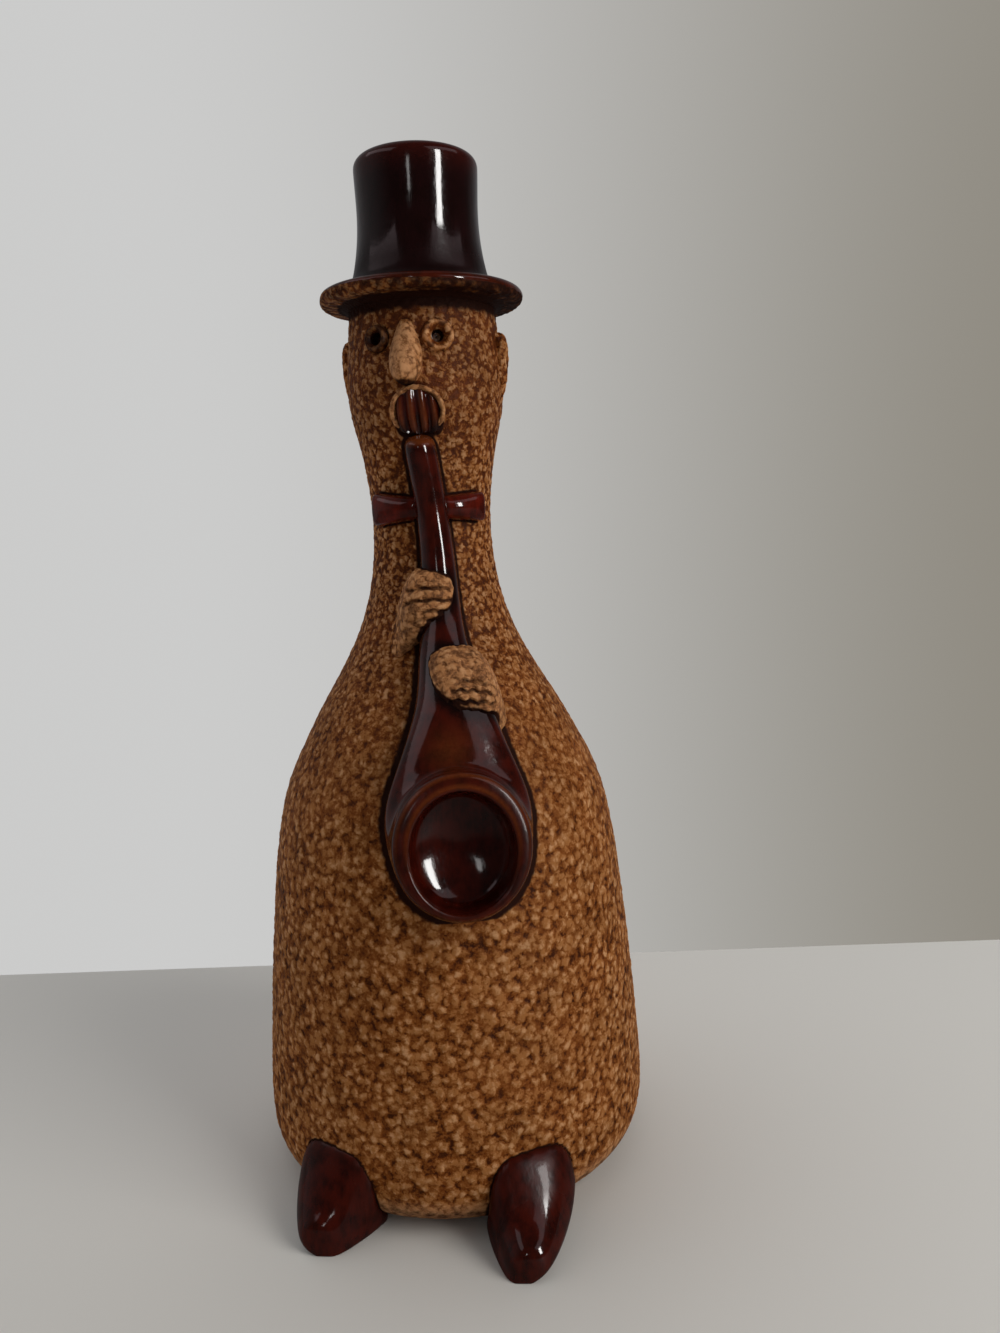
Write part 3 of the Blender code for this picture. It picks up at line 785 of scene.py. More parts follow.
def makeBrimMaterial():
    material, tree, shader = newMaterial("brimGlaze")
    clay = placeGroup(tree, clayGroup, Fineness=1.0, Paleness=0.0, Redness=0.45,
                      Stain=maskOf(tree, "stainAndShade")).outputs
    gloss = placeGroup(tree, glazeGroup, Thin=maskOf(tree, "thin"), Dark=0.0).outputs
    speck = noise(tree, scaled(tree, objectPlace(tree), 1000.0), 2.2, 3.0, 0.6)
    ragged = plus(tree, maskOf(tree, "glazed"), minus(tree, speck, 0.5))
    share = remap(tree, ragged, 0.35, 0.65)
    look = {name: blendValues(tree, share, clay[name], gloss[name])
            for name in ("Roughness", "Height")}
    look["Color"] = blendColours(tree, share, clay["Color"], gloss["Color"])
    setShader(tree, shader, look, 0.05, 0.00020, coat=times(tree, share, 0.5),
              coatRoughness=0.06)
    return material


eyeClay = makeEyeMaterial()
fineCarving = carvingNodes("fineCarving", 1.0)
bodyCarving = carvingNodes("bodyCarving")


def finishPiece(piece, material):
    chooseOnly(piece)
    piece.data.materials.clear()
    piece.data.materials.append(material)
    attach(piece, "root")
    return piece


print("body")

skin = {
    "columns": 60,
    "levels": 3,
    "bellyTop": 0.112,
    "chestTop": 0.181,
    "footRows": 4,
    "bellyRows": 18,
    "chestRows": 15,
    "headRows": 14,
    "footFlat": 0.0340,
    "innerStep": 0.012,
    "nearBorder": 0.003,            # what counts as a band's border
    "mouthGap": 0.0004,
    "footCarving": (0.038, 0.006),  # radius where it starts under the hem, and over how much
    "footTop": 0.020,
    "carving": (0.0076, 0.004),     # height where it starts on the hem, and over how much
    "carvingEnd": 0.0015,           # it fades over this below the brim
    "eyeRoom": (0.0022, 0.0014),    # radius of the room for an eye's dish, and its edge
    "eyeRoomDepth": 0.0030,
}


def bodyRings():
    foot = body["hemRadius"] - body["hemAcross"]
    outline = [(skin["footFlat"], 0.0)]
    outline += arcPoints(foot, body["hemUp"], body["hemAcross"], body["hemUp"], -90, 0,
                         skin["footRows"])
    for low, high, rows in ((body["hemUp"], skin["bellyTop"], skin["bellyRows"]),
                            (skin["bellyTop"], skin["chestTop"], skin["chestRows"]),
                            (skin["chestTop"], body["height"], skin["headRows"])):
        for i in range(1, rows + 1):
            height = low + (high - low) * i / rows
            outline.append((bodyRadius(height), height))
    return [roundRing(radius, height, skin["columns"]) for radius, height in outline]


def selectBorder(piece, low, high):
    bpy.ops.mesh.select_mode(type="EDGE")
    bpy.ops.mesh.select_all(action="DESELECT")
    bm = bmesh.from_edit_mesh(piece.data)
    for edge in bm.edges:
        edge.select = edge.is_boundary and low < edge.verts[0].co.z < high
    bmesh.update_edit_mesh(piece.data)


# extrudes the selected loop and brings it to a radius and height, each point on its own turn
def stepTo(piece, radius, height):
    bpy.ops.mesh.extrude_edges_move()
    bm = bmesh.from_edit_mesh(piece.data)
    for vert in bm.verts:
        if vert.select:
            angle = math.atan2(vert.co.x, -vert.co.y)
            vert.co = (radius * math.sin(angle), -radius * math.cos(angle), height)
    bmesh.update_edit_mesh(piece.data)


def innerPlace(height):
    outward, upward = bodyNormal(height)
    return bodyRadius(height) - body["wall"] * outward, height - body["wall"] * upward


# a band of the skin gets its own inner wall, so that it is a closed solid
def closeBand(piece, low, high):
    chooseOnly(piece)
    bpy.ops.object.mode_set(mode="EDIT")
    near = skin["nearBorder"]
    selectBorder(piece, high - near, high + near)
    top, lowest, hasFloor = high, max(low, body["hemUp"]), low < body["hemUp"]
    if high >= body["height"]:
        stepTo(piece, body["mouthRadius"] + skin["mouthGap"], high)
        top = body["hatFloor"]
    rows = max(3, round((top - lowest) / skin["innerStep"]))
    for i in range(rows + 1):
        height = top + (lowest - top) * i / rows
        radius, place = innerPlace(height)
        stepTo(piece, radius, place if 0 < i < rows or hasFloor else height)
    if hasFloor:
        foot = body["hemRadius"] - body["hemAcross"]
        wall = body["wall"]
        for radius, place in reversed(arcPoints(foot, body["hemUp"], body["hemAcross"] - wall,
                                                body["hemUp"] - wall, -90, 0, 5)[2:-1]):
            stepTo(piece, radius, max(place, body["floor"] + 0.001))
        stepTo(piece, foot - 0.002, body["floor"])
        bpy.ops.mesh.extrude_edges_move()
        bpy.ops.mesh.merge(type="CENTER")
    else:
        bm = bmesh.from_edit_mesh(piece.data)
        for edge in bm.edges:
            if edge.is_boundary and edge.verts[0].co.z < low + near:
                edge.select = True
        bmesh.update_edit_mesh(piece.data)
        bpy.ops.mesh.bridge_edge_loops()
    bpy.ops.object.mode_set(mode="OBJECT")


def makeBody(eyePlaces):
    piece = drawThrough("vaseSkin", bodyRings(), openEnd=True)
    mesh = piece.data
    for _ in range(3):
        mesh.materials.append(bodyClay)
    mesh.polygons.foreach_set("material_index", [
        0 if f.center.z < skin["bellyTop"] else 1 if f.center.z < skin["chestTop"] else 2
        for f in mesh.polygons])
    smoothOut(piece, skin["levels"])

    places = vertexPlaces(piece)
    height = places[:, 2]
    radius = np.hypot(places[:, 0], places[:, 1])
    keep = ramp(height, *skin["carving"]) * ramp(height, body["height"], -skin["carvingEnd"])
    keep *= np.where(height < skin["footTop"], ramp(radius, *skin["footCarving"]), 1.0)
    writeMask(piece, "carve", keep)
    carve(piece, bodyCarving)

    # room for the eyes' dishes
    places = vertexPlaces(piece)
    for middle, outward in eyePlaces:
        away = np.linalg.norm(places - np.array(middle), axis=1)
        push = (1.0 - ramp(away, *skin["eyeRoom"])) * skin["eyeRoomDepth"]
        places -= push[:, None] * np.array(outward)
    mesh = piece.data
    mesh.vertices.foreach_set("co", places.astype(np.float32).ravel())
    mesh.update()

    # bands, with their shading taken from the whole skin
    normals = [n.vector.copy() for n in mesh.vertex_normals]
    bands = np.empty(len(mesh.polygons), np.int32)
    mesh.polygons.foreach_get("material_index", bands)
    bm = bmesh.new()
    bm.from_mesh(mesh)
    for edge in bm.edges:
        faces = edge.link_faces
        if len(faces) == 2 and faces[0].material_index != faces[1].material_index:
            edge.smooth = False
    bm.to_mesh(mesh)
    bm.free()
    mesh.normals_split_custom_set_from_vertices(normals)
    chooseOnly(piece)
    bpy.ops.object.mode_set(mode="EDIT")
    bpy.ops.mesh.select_all(action="SELECT")
    bpy.ops.mesh.separate(type="MATERIAL")
    bpy.ops.object.mode_set(mode="OBJECT")
    found = sorted(bpy.context.selected_objects,
                   key=lambda o: o.data.vertices[len(o.data.vertices) // 2].co.z)
    edges = (0.0, skin["bellyTop"], skin["chestTop"], body["height"])
    for band, name, low, high in zip(found, ("belly", "chest", "head"), edges, edges[1:]):
        closeBand(band, low, high)
        band.data.polygons.foreach_set("material_index", [0] * len(band.data.polygons))
        band.name = band.data.name = name
    return found


print("hat")

hat = {
    "brimRadius": 0.0269,
    "brimThickness": 0.0040,
    # radius, and the lift from the brim's underside and from its top
    "brimUnder": ((0.0178, 0.0006), (0.0193, -0.0012), (0.0199, -0.0004), (0.0210, 0.0),
                  (0.0230, 0.0)),
    "brimTop": ((0.0230, 0.0), (0.0212, 0.0), (0.0196, 0.0004), (0.0178, -0.0004)),
    "crownHeight": 0.0330,
    "crownStations": ((0.0, 0.0205), (0.08, 0.0181), (0.50, 0.0159), (1.0, 0.0161)),
    "crownRows": (0.0, 0.03, 0.08, 0.16, 0.26, 0.38, 0.50, 0.62, 0.74, 0.86, 0.96),
    "lipRounding": 0.0026,
    "satinUpTo": 0.0120,        # the crown's flare is less shiny
    "satin": 0.85,
    "thinLip": 0.42,
    "columns": 72,
    "glazeFrom": (0.78, 0.46),  # share of the brim's thickness where it starts, left and right
    "glazeAndShadeReach": 0.0236,       # dark under the brim up to here: pooled glaze and painted shade
    "burnt": (0.50, 0.74),      # and darker than the body all over, left and right
}


def makeBrim():
    under, thick = body["height"], hat["brimThickness"]
    edge, half = hat["brimRadius"], hat["brimThickness"] / 2
    outline = [(radius, under + lift) for radius, lift in hat["brimUnder"]]
    outline += arcPoints(edge - half, under + half, half, half, -90, 90, 6)
    outline += [(radius, under + thick + lift) for radius, lift in hat["brimTop"]]
    rings = [roundRing(r, z, hat["columns"]) for r, z in outline]
    brim = drawThrough("hatBrim", rings, ringClosed=True)
    smoothOut(brim, 2)
    places = vertexPlaces(brim)
    radius = np.hypot(places[:, 0], places[:, 1])
    turn = np.degrees(np.arctan2(places[:, 0], -places[:, 1]))

    def fromLeft(name, start, width):
        left, right = hat[name]
        return left + (right - left) * ramp(turn, start, width)

    least = thick * fromLeft("glazeFrom", -60, 90)
    glazed = np.clip((places[:, 2] - under - least) / 0.0007 + 0.5, 0, 1)
    writeMask(brim, "glazed", glazed)
    # dark on the brim's underside near the head: pooled glaze and painted shade
    below = ramp(places[:, 2], under + thick * 0.3, -0.0006)
    below *= ramp(radius, hat["glazeAndShadeReach"], -0.0022)
    writeMask(brim, "stainAndShade", np.maximum(below, fromLeft("burnt", -25, 50)))
    writeMask(brim, "carve", (1 - glazed) * ramp(radius, 0.0205, 0.002))
    carve(brim, fineCarving)
    writeMask(brim, "thin", convexEdges(brim, 4, 0.5))
    return brim


def makeCrown():
    base = body["height"] + hat["brimThickness"]
    top = base + hat["crownHeight"]
    lip = top - hat["lipRounding"]
    outline = [(0.0150, body["height"] + 0.0006), (0.0186, body["height"] + 0.0012),
               (0.0200, base - 0.0006)]
    for share in hat["crownRows"]:
        outline.append((smoothThrough(hat["crownStations"], share), base + (lip - base) * share))
    crownTop = hat["crownStations"][-1][1]
    outline += arcPoints(crownTop - hat["lipRounding"], lip, hat["lipRounding"],
                         hat["lipRounding"], 0, 90, 5)
    inner = crownTop - hat["lipRounding"] - body["mouthRadius"]
    outline += arcPoints(body["mouthRadius"] + inner, top - inner, inner, inner, 90, 180, 3)[1:]
    bore = body["mouthRadius"]
    outline += [(bore, height) for height in (top - 0.008, base + 0.008, base,
                                              body["height"] + 0.0006)]
    rings = [roundRing(r, z, hat["columns"]) for r, z in outline]
    crown = drawThrough("hatCrown", rings, ringClosed=True)
    smoothOut(crown, 2)
    places = vertexPlaces(crown)
    radius = np.hypot(places[:, 0], places[:, 1])
    height = places[:, 2]
    writeMask(crown, "dark", ramp(radius, 0.0119, -0.0006) * ramp(height, top - 0.004, -0.01))
    upward = hat["thinLip"] * ramp(height, top - 0.0080, 0.0076) ** 1.5
    writeMask(crown, "thin", np.maximum(convexEdges(crown, 6, 0.25), upward))
    writeMask(crown, "satin", hat["satin"] * ramp(height, base + hat["satinUpTo"], -0.006))
    return crown


print("face")

faceTurn = -4.5                 # of the eyes and ears


# a section that rises from the skin and goes down into the wall on both sides
def ridge(turn, height, halfWidth, reach, fullness=1.0, steps=10):
    ring = []
    for i in range(steps + 1):
        angle = math.pi * i / steps
        lift = reach * math.sin(angle) ** fullness
        ring.append(onBody(turn, height, lift, -halfWidth * math.cos(angle)))
    for side in (1, -1):
        ring.append(onBody(turn, height, -sink, side * halfWidth * 0.9))
    return ring


noseForm = {
    "turn": -4.6,
    "top": 0.9760,
    "length": 0.0158,
    "halfWidth": 0.0038,
    "reach": 0.0068,
    "flank": 1.12,
    # shares of the length downwards, of the half width and of the reach
    "shape": ((0.00, 0.20, 0.00), (0.08, 0.42, 0.15), (0.30, 0.76, 0.40), (0.55, 1.00, 0.68),
              (0.78, 0.98, 0.94), (0.91, 0.78, 0.96), (1.00, 0.50, 0.74), (1.035, 0.24, 0.46)),
    "fullness": 1.35,
    "carve": 0.22,                  # share of the carved relief
    "worn": 0.80,
    "stainAndShade": 0.75,                  # painted shade on its underside, at its lower end
}


def makeNose():
    top = noseForm["top"] * body["height"]
    rings = [ridge(noseForm["turn"], top - noseForm["length"] * share,
                   noseForm["halfWidth"] * width * noseForm["flank"], noseForm["reach"] * reach,
                   fullness=noseForm["fullness"], steps=14)
             for share, width, reach in noseForm["shape"]]
    nose = smoothOut(drawThrough("nose", rings), 3)
    places = vertexPlaces(nose)
    lowest = top - noseForm["length"]
    height = places[:, 2]
    flank = places[:, 0] - onBody(noseForm["turn"], lowest).x
    worn = ramp(height, lowest - 0.0002, 0.002) * np.clip((top - height) / 0.004, 0.1, 1)
    worn *= np.clip((0.0050 - flank) / 0.0034, 0.4, 1)
    writeMask(nose, "worn", noseForm["worn"] * worn)
    # painted shade under the nose's lower end
    writeMask(nose, "stainAndShade", noseForm["stainAndShade"] * ramp(height, lowest + 0.0012, -0.0012))
    return carveEvenly(nose, noseForm["carve"])


earForm = {
    "turn": 90.0,                   # to each side of the face's turn
    "top": 0.9700,
    "length": 0.0172,
    "halfWidth": 0.0025,
    "relief": 0.0027,
    "shape": ((0.00, 0.45, 0.30), (0.06, 0.90, 0.85), (0.25, 1.00, 1.00), (0.55, 0.90, 0.75),
              (0.85, 0.70, 0.35), (1.00, 0.35, 0.00)),
}


def makeEar(name, side):
    top = earForm["top"] * body["height"]
    turn = faceTurn + side * earForm["turn"]
    rings = [ridge(turn, top - earForm["length"] * share, earForm["halfWidth"] * width,
                   earForm["relief"] * reach) for share, width, reach in earForm["shape"]]
    return carveEvenly(smoothOut(drawThrough(name, rings), 3), 1)


eyeForm = {
    "turn": 22.9,                   # to each side of the face's turn
    "height": 0.9570,
    "radius": 0.0042,
    "holeRadius": 0.0016,
    "relief": 0.0012,
    "size": {-1: 0.80, 1: 0.97},    # share of the radius, left and right
    "burnt": {-1: 0.66, 1: 0.0},
    "sides": 28,
    # shares of the ring's radius and of the relief
    "shape": ((0.985, 0.42), (0.93, 0.76), (0.85, 0.96), (0.76, 1.00), (0.67, 0.84),
              (0.58, 0.58), (0.49, 0.34)),
    "worn": 0.34,                   # on the ring's crest
    "red": 0.60,                    # inside the ring
    "dishDepth": 0.0024,
}


def eyeFrame(side):
    turn = faceTurn + side * eyeForm["turn"]
    height = eyeForm["height"] * body["height"]
    middle = onBody(turn, height)
    out = (onBody(turn, height, body["wall"]) - middle).normalized()
    level = sidewaysAt(turn)
    return middle, out, level, out.cross(level)


def makeEye(name, side):
    middle, out, level, up = eyeFrame(side)
    ringRadius = eyeForm["radius"] * eyeForm["size"][side]
    hole, relief = eyeForm["holeRadius"], eyeForm["relief"]
    outline = [(ringRadius, -sink), (ringRadius, -0.0001)]
    outline += [(ringRadius * across, relief * lift) for across, lift in eyeForm["shape"]]
    outline += [(hole * 0.98, -0.0004), (hole * 0.80, -0.0014),
                (hole * 0.40, -eyeForm["dishDepth"])]
    rings = [[middle + out * lift + (level * math.cos(a) + up * math.sin(a)) * radius
              for a in roundAngles(eyeForm["sides"])] for radius, lift in outline]
    eye = drawThrough(name, rings, endTip=middle - out * eyeForm["dishDepth"])
    smoothOut(eye, 2)
    away = vertexPlaces(eye) - np.array(middle)
    lift = away @ np.array(out)
    radius = np.linalg.norm(away - lift[:, None] * np.array(out), axis=1)
    writeMask(eye, "dark", ramp(radius, hole * 1.06, -0.0003))
    writeMask(eye, "thin", eyeForm["worn"] * peak(radius / ringRadius, 0.80, 0.12))
    writeMask(eye, "inward", eyeForm["red"] * ramp(radius, ringRadius * 0.68, -0.0006))
    writeMask(eye, "stainAndShade", np.full(len(radius), eyeForm["burnt"][side]))
    return eye


lipForm = {
    "turn": 1.2,
    "height": 0.8800,
    "halfWidth": 0.0064,
    "halfHeight": 0.0055,
    "thickness": 0.0008,
    "gap": 44.0,                    # degrees left open on both sides of the lowest point
    "steps": 30,
    "carve": 0.5,                   # share of the carved relief
}


def makeLips():
    height = lipForm["height"] * body["height"]
    rings = []
    steps = lipForm["steps"]
    for i in range(steps + 1):
        angle = math.radians(-90 + lipForm["gap"] + (360 - 2 * lipForm["gap"]) * i / steps)
        thickness = lipForm["thickness"] * (0.6 if i in (0, steps) else 1.0)
        section = [(thickness * math.cos(a), thickness * 1.5 * math.sin(a))
                   for a in (math.pi * k / 6 for k in range(7))]
        section += [(-thickness * 0.9, -sink), (thickness * 0.9, -sink)]
        rings.append([onBody(lipForm["turn"],
                             height + (lipForm["halfHeight"] + reach) * math.sin(angle), lift,
                             (lipForm["halfWidth"] + reach) * math.cos(angle))
                      for reach, lift in section])
    return carveEvenly(smoothOut(drawThrough("lips", rings), 2), lipForm["carve"])


ribForm = {
    "count": 4,
    "floor": 0.0003,
    "relief": 0.0012,
    "lean": 0.0007,
    "thin": 0.42,                   # paler glaze on their crests
    "dark": 0.9,                    # round them
}


# the mouth's filling: upright ribs behind the horn's tip
def makeRibs():
    middle = lipForm["height"] * body["height"]
    count = ribForm["count"]
    steps = count * 10
    lowest = middle - lipForm["halfHeight"] * 1.05
    rings = []
    for k in range(9):
        share = k / 8
        ring = []
        for i in range(steps + 1):
            place = 2 * i / steps - 1
            highest = middle + lipForm["halfHeight"] * 1.02 * math.sqrt(1 - 0.92 * place * place)
            rib = (0.5 - 0.5 * math.cos(2 * math.pi * count * (place + 1) / 2)) ** 0.8
            lift = ribForm["floor"] + ribForm["relief"] * rib * (1.0 - 0.45 * share)
            lift *= (1 - abs(place) ** 9) * min(1.0, 0.55 + 1.8 * share)
            narrowed = 1.0 - 0.10 * share - 0.26 * max(1.0 - share / 0.45, 0.0) ** 2
            ring.append(onBody(lipForm["turn"], lowest + (highest - lowest) * share, lift,
                               place * lipForm["halfWidth"] * 0.95 * narrowed
                               + ribForm["lean"] * (0.5 - share)))
        for place in (0.9, -0.9):
            highest = middle + lipForm["halfHeight"] * 0.4
            ring.append(onBody(lipForm["turn"], lowest + (highest - lowest) * share, -sink,
                               place * lipForm["halfWidth"] * 0.9 * narrowed))
        rings.append(ring)
    ribs = smoothOut(drawThrough("mouthRibs", rings), 2)
    places = vertexPlaces(ribs)
    outward = np.hypot(places[:, 0], places[:, 1])
    outward -= np.array([bodyRadius(height) for height in places[:, 2]])
    crest = 0.45 * ribForm["relief"]
    writeMask(ribs, "thin", ribForm["thin"] * ramp(outward, crest, crest))
    away = places - np.array(onBody(lipForm["turn"], middle))
    dark = ramp(np.hypot(away[:, 0], away[:, 2]), 0.0046, 0.0016)
    writeMask(ribs, "dark", np.minimum(dark, ribForm["dark"]))
    return ribs


print("bow tie")

bow = {
    "turn": 4.5,
    "height": 0.7770,
    "halfSpan": 0.0146,
    "outerHeight": {-1: 0.0088, 1: 0.0080},
    "innerHeight": 0.0056,
    "relief": 0.0030,
    "dome": 0.0011,
    "wingRows": (0.0, 0.05, 0.15, 0.35, 0.55, 0.75, 0.90, 0.96, 1.0),
    # rise across a wing, share of the relief and of the dome
    "wingShape": ((0.95, 0.72, 0.0), (0.80, 0.96, 0.0), (0.48, 1.0, 0.66)),
    "knotHalfWidth": 0.0030,
    "knotHalfHeight": 0.56,         # share of the wings' inner height
    "knotRelief": 0.0034,
    "knotSides": 16,
    "thinEdges": (4, 0.35),         # spread and strength of the paler glaze on edges
}


def makeWing(name, side):
    middle = bow["height"] * body["height"]
    start = bow["knotHalfWidth"] / 2
    rings = []
    for share in bow["wingRows"]:
        across = side * (start + (bow["halfSpan"] - start) * share)
        half = (bow["innerHeight"] + (bow["outerHeight"][side] - bow["innerHeight"]) * share) / 2
        relief = bow["relief"] * (0.80 if share in (0.0, 1.0) else 1.0)
        dome = bow["dome"] * math.sin(math.pi * share) ** 0.6
        climb = [(1.0, -sink), (1.0, relief * 0.35)]
        climb += [(rise, relief * low + dome * high) for rise, low, high in bow["wingShape"]]
        section = [(-rise, lift) for rise, lift in climb] + [(0.0, relief + dome)] + climb[::-1]
        rings.append([onBody(bow["turn"], middle + rise * half, lift, across)
                      for rise, lift in section])
    wing = smoothOut(drawThrough(name, rings), 3)
    writeMask(wing, "thin", convexEdges(wing, *bow["thinEdges"]))
    return wing


def makeKnot():
    middle = bow["height"] * body["height"]
    rings = []
    for share, size in ((-1.0, 0.6), (-0.75, 0.95), (0.0, 1.05), (0.75, 0.95), (1.0, 0.6)):
        across = bow["knotHalfWidth"] * share
        tall = bow["innerHeight"] * bow["knotHalfHeight"] * size
        rings.append([onBody(bow["turn"], middle + tall * math.cos(a),
                             max(bow["knotRelief"] * size * math.sin(a), -sink), across)
                      for a in roundAngles(bow["knotSides"])])
    knot = smoothOut(drawThrough("bowKnot", rings), 2)
    writeMask(knot, "thin", convexEdges(knot, *bow["thinEdges"]))
    return knot


print("horn")

horn = {
    # height share, turn, how far the front stands off the body, half width
    "stations": (
        (0.8540, 1.8, 0.0052, 0.0026), (0.8500, 1.9, 0.0066, 0.0037),
        (0.8400, 2.3, 0.0070, 0.0041), (0.7890, 7.3, 0.0068, 0.0039),
        (0.7270, 11.1, 0.0070, 0.0043), (0.6770, 11.3, 0.0074, 0.0048),
        (0.6350, 10.7, 0.0082, 0.0056), (0.5960, 11.6, 0.0094, 0.0072),
        (0.5620, 13.1, 0.0114, 0.0091),
    ),
    "tipLift": 0.0020,
    "tipRise": 0.0005,
    "bellTurn": 11.5,
    "bellHeight": 0.4478,
    "bellLift": 0.0135,
    "bellTilt": 12.0,
    "bellHalfWidth": 0.0163,
    "bellHalfHeight": 0.0173,
    "rounding": 0.0014,
    "footHalfWidth": 0.0184,
    "footDrop": 0.0156,
    "cupHalfWidth": 0.0123,
    "cupHalfHeight": 0.0139,
    "cupDrop": 0.0013,
    "cupDepth": 0.0115,
    "innerEdge": 0.0004,
    "cupShape": ((0.17, 1.00), (0.56, 0.985), (0.72, 0.94), (0.80, 0.85), (0.905, 0.60),
                 (0.985, 0.28)),
    "swell": 1.03,                  # the bell's widest ring, behind its rim
    "swellDepth": 0.42,             # share of the bell's lift
    "flare": ((0.30, 0.30), (0.62, 0.68), (0.90, 1.0)),     # share of the way down, of the width
    "sides": 32,
    "rimCrest": (0.955, 0.030),     # place and width of the paler crests, share of the bell's size
    "cupCrest": (0.80, 0.035),
    "cupCrestShare": 0.7,
    "crestDepth": 0.0016,
    "crestThin": 0.75,
    "capFrom": (0.1958, 0.0010),    # height where the tip's paler cap starts, and its edge
    "capThin": 0.55,
    "reflectionPatchPlace": (2.0, 0.535),      # painted reflection, a paler patch on the horn above the bell: turn from the bell's, share of the body's height
    "reflectionPatchSize": (0.0050, 0.0042),
    "reflectionPatchPaleness": 0.34,
    "satinRim": (0.90, 0.10),
    "satinDepth": 0.005,
    "satin": 0.85,
}


def bellFrame():
    turn, tilt = horn["bellTurn"], math.radians(horn["bellTilt"])
    level, side = outwardAt(turn), sidewaysAt(turn)
    look = level * math.cos(tilt) + Vector((0, 0, 1)) * math.sin(tilt)
    middle = onBody(turn, horn["bellHeight"] * body["height"]) + level * horn["bellLift"]
    return middle, side, look.cross(side), look


def makeHorn():
    sides = horn["sides"]
    stations = horn["stations"]
    sections = []
    for share, turn, relief, halfWidth in stations:
        front = onBody(turn, share * body["height"], relief)
        back = onBody(turn, share * body["height"], -sink)
        sections.append((front, back, sidewaysAt(turn) * halfWidth))
    middle, side, up, look = bellFrame()

    def oval(halfWidth, halfHeight, depth, drop=0.0):
        centre = middle - look * depth - up * drop
        return [centre + up * (math.cos(a) * halfHeight) + side * (math.sin(a) * halfWidth)
                for a in roundAngles(sides)]

    swell, swellDepth = horn["swell"], horn["bellLift"] * horn["swellDepth"]
    swellTop = middle + up * (horn["bellHalfHeight"] * swell) - look * swellDepth
    lastHeight = stations[-1][0] * body["height"]
    lowest = horn["bellHeight"] * body["height"] - horn["footDrop"]
    tubeFront = sections[-1][0]
    for share, width in horn["flare"]:
        height = lastHeight * (1 - share) + lowest * share
        half = stations[-1][3] * (1 - width) + horn["footHalfWidth"] * width
        sections.append((tubeFront.lerp(swellTop, share), onBody(horn["bellTurn"], height, -sink),
                         side * half))
    rows = []
    for front, back, half in sections:
        centre = (front + back) / 2
        rows.append([centre + (front - centre) * math.cos(a) + half * math.sin(a)
                     for a in roundAngles(sides)])
    width, tall, rounding = horn["bellHalfWidth"], horn["bellHalfHeight"], horn["rounding"]
    cupWidth, cupTall, drop = horn["cupHalfWidth"], horn["cupHalfHeight"], horn["cupDrop"]
    rows.append(oval(width * swell, tall * swell, swellDepth))
    rows.append(oval(width * 1.012, tall * 1.012, rounding * 2.0))
    rows.append(oval(width, tall, rounding))
    rows.append(oval(width - rounding / 2, tall - rounding / 2, rounding * 0.15))
    edge = horn["innerEdge"]
    for out, depth in ((3.4, 0.0), (1.3, 0.1), (0.3, 1.0)):
        rows.append(oval(cupWidth + edge * out, cupTall + edge * out, edge * depth, drop))
    for share, size in horn["cupShape"]:
        rows.append(oval(cupWidth * size, cupTall * size, horn["cupDepth"] * share, drop))
    tip = onBody(stations[0][1], stations[0][0] * body["height"] + horn["tipRise"], horn["tipLift"])
    piece = drawThrough("saxophone", rows, tip, middle - look * horn["cupDepth"] * 1.03 - up * drop)
    smoothOut(piece, 2)
    away = vertexPlaces(piece) - np.array(middle)
    depth = -(away @ np.array(look))
    level, rise = away @ np.array(side), away @ np.array(up)
    ring = np.hypot(level / width, rise / tall)
    shallow = ramp(depth, horn["crestDepth"], -horn["crestDepth"])
    crest = np.maximum(peak(ring, *horn["rimCrest"]),
                       peak(ring, *horn["cupCrest"]) * horn["cupCrestShare"])
    upper = np.clip(0.45 + 0.75 * rise / tall, 0.25, 1.0)
    places = away + np.array(middle)
    cap = ramp(places[:, 2], *horn["capFrom"]) * horn["capThin"]
    # a paler patch above the bell: painted reflection
    turned, height = horn["reflectionPatchPlace"]
    patch = places - np.array(onBody(horn["bellTurn"] + turned, height * body["height"]))
    reflectionPatch = horn["reflectionPatchPaleness"]
    for axis, size in zip((0, 2), horn["reflectionPatchSize"]):
        reflectionPatch = reflectionPatch * peak(patch[:, axis], 0.0, size)
    thin = [crest * shallow * upper * horn["crestThin"], cap, reflectionPatch, convexEdges(piece, 5, 0.10)]
    writeMask(piece, "thin", np.maximum.reduce(thin))
    rim = peak(ring, *horn["satinRim"]) * ramp(depth, horn["satinDepth"], -horn["satinDepth"])
    writeMask(piece, "satin", horn["satin"] * rim * ramp(rise / tall, 0.86, -0.12))
    return piece


print("hands")

hands = {
    # grooves: how far above the middle, from and to across it, depth share; in millimetres
    "upper": {"turn": -1.8, "height": 0.6725, "side": 1, "halfWidth": 0.0066, "fall": 0.95,
              "halfHeight": 0.0093, "relief": 0.0106, "slant": 0.03, "wrist": 0.0, "taper": 0.0,
              "arch": 0.0007, "wave": 0.00014, "waveLength": 0.0046,
              "grooves": ((4.5, -3.4, 8.6, 0.95), (1.5, -4.2, 9.4, 1.00), (-1.2, 0.2, 7.4, 0.90),
                          (-3.4, -2.6, 5.8, 0.70), (-5.3, -5.0, 2.6, 0.50))},
    "lower": {"turn": 19.2, "height": 0.5765, "side": -1, "halfWidth": 0.0076, "fall": 0.48,
              "halfHeight": 0.0104, "relief": 0.0134, "slant": -0.16, "wrist": 0.26, "taper": 0.20,
              "arch": 0.0006, "wave": 0.00026, "waveLength": 0.0031,
              "grooves": ((5.2, -4.2, 4.0, 0.85), (2.9, -6.2, 5.4, 1.00), (0.4, -6.8, 6.0, 0.95),
                          (-2.2, -6.0, 6.6, 0.85), (-4.6, -4.6, 6.4, 0.50))},
}
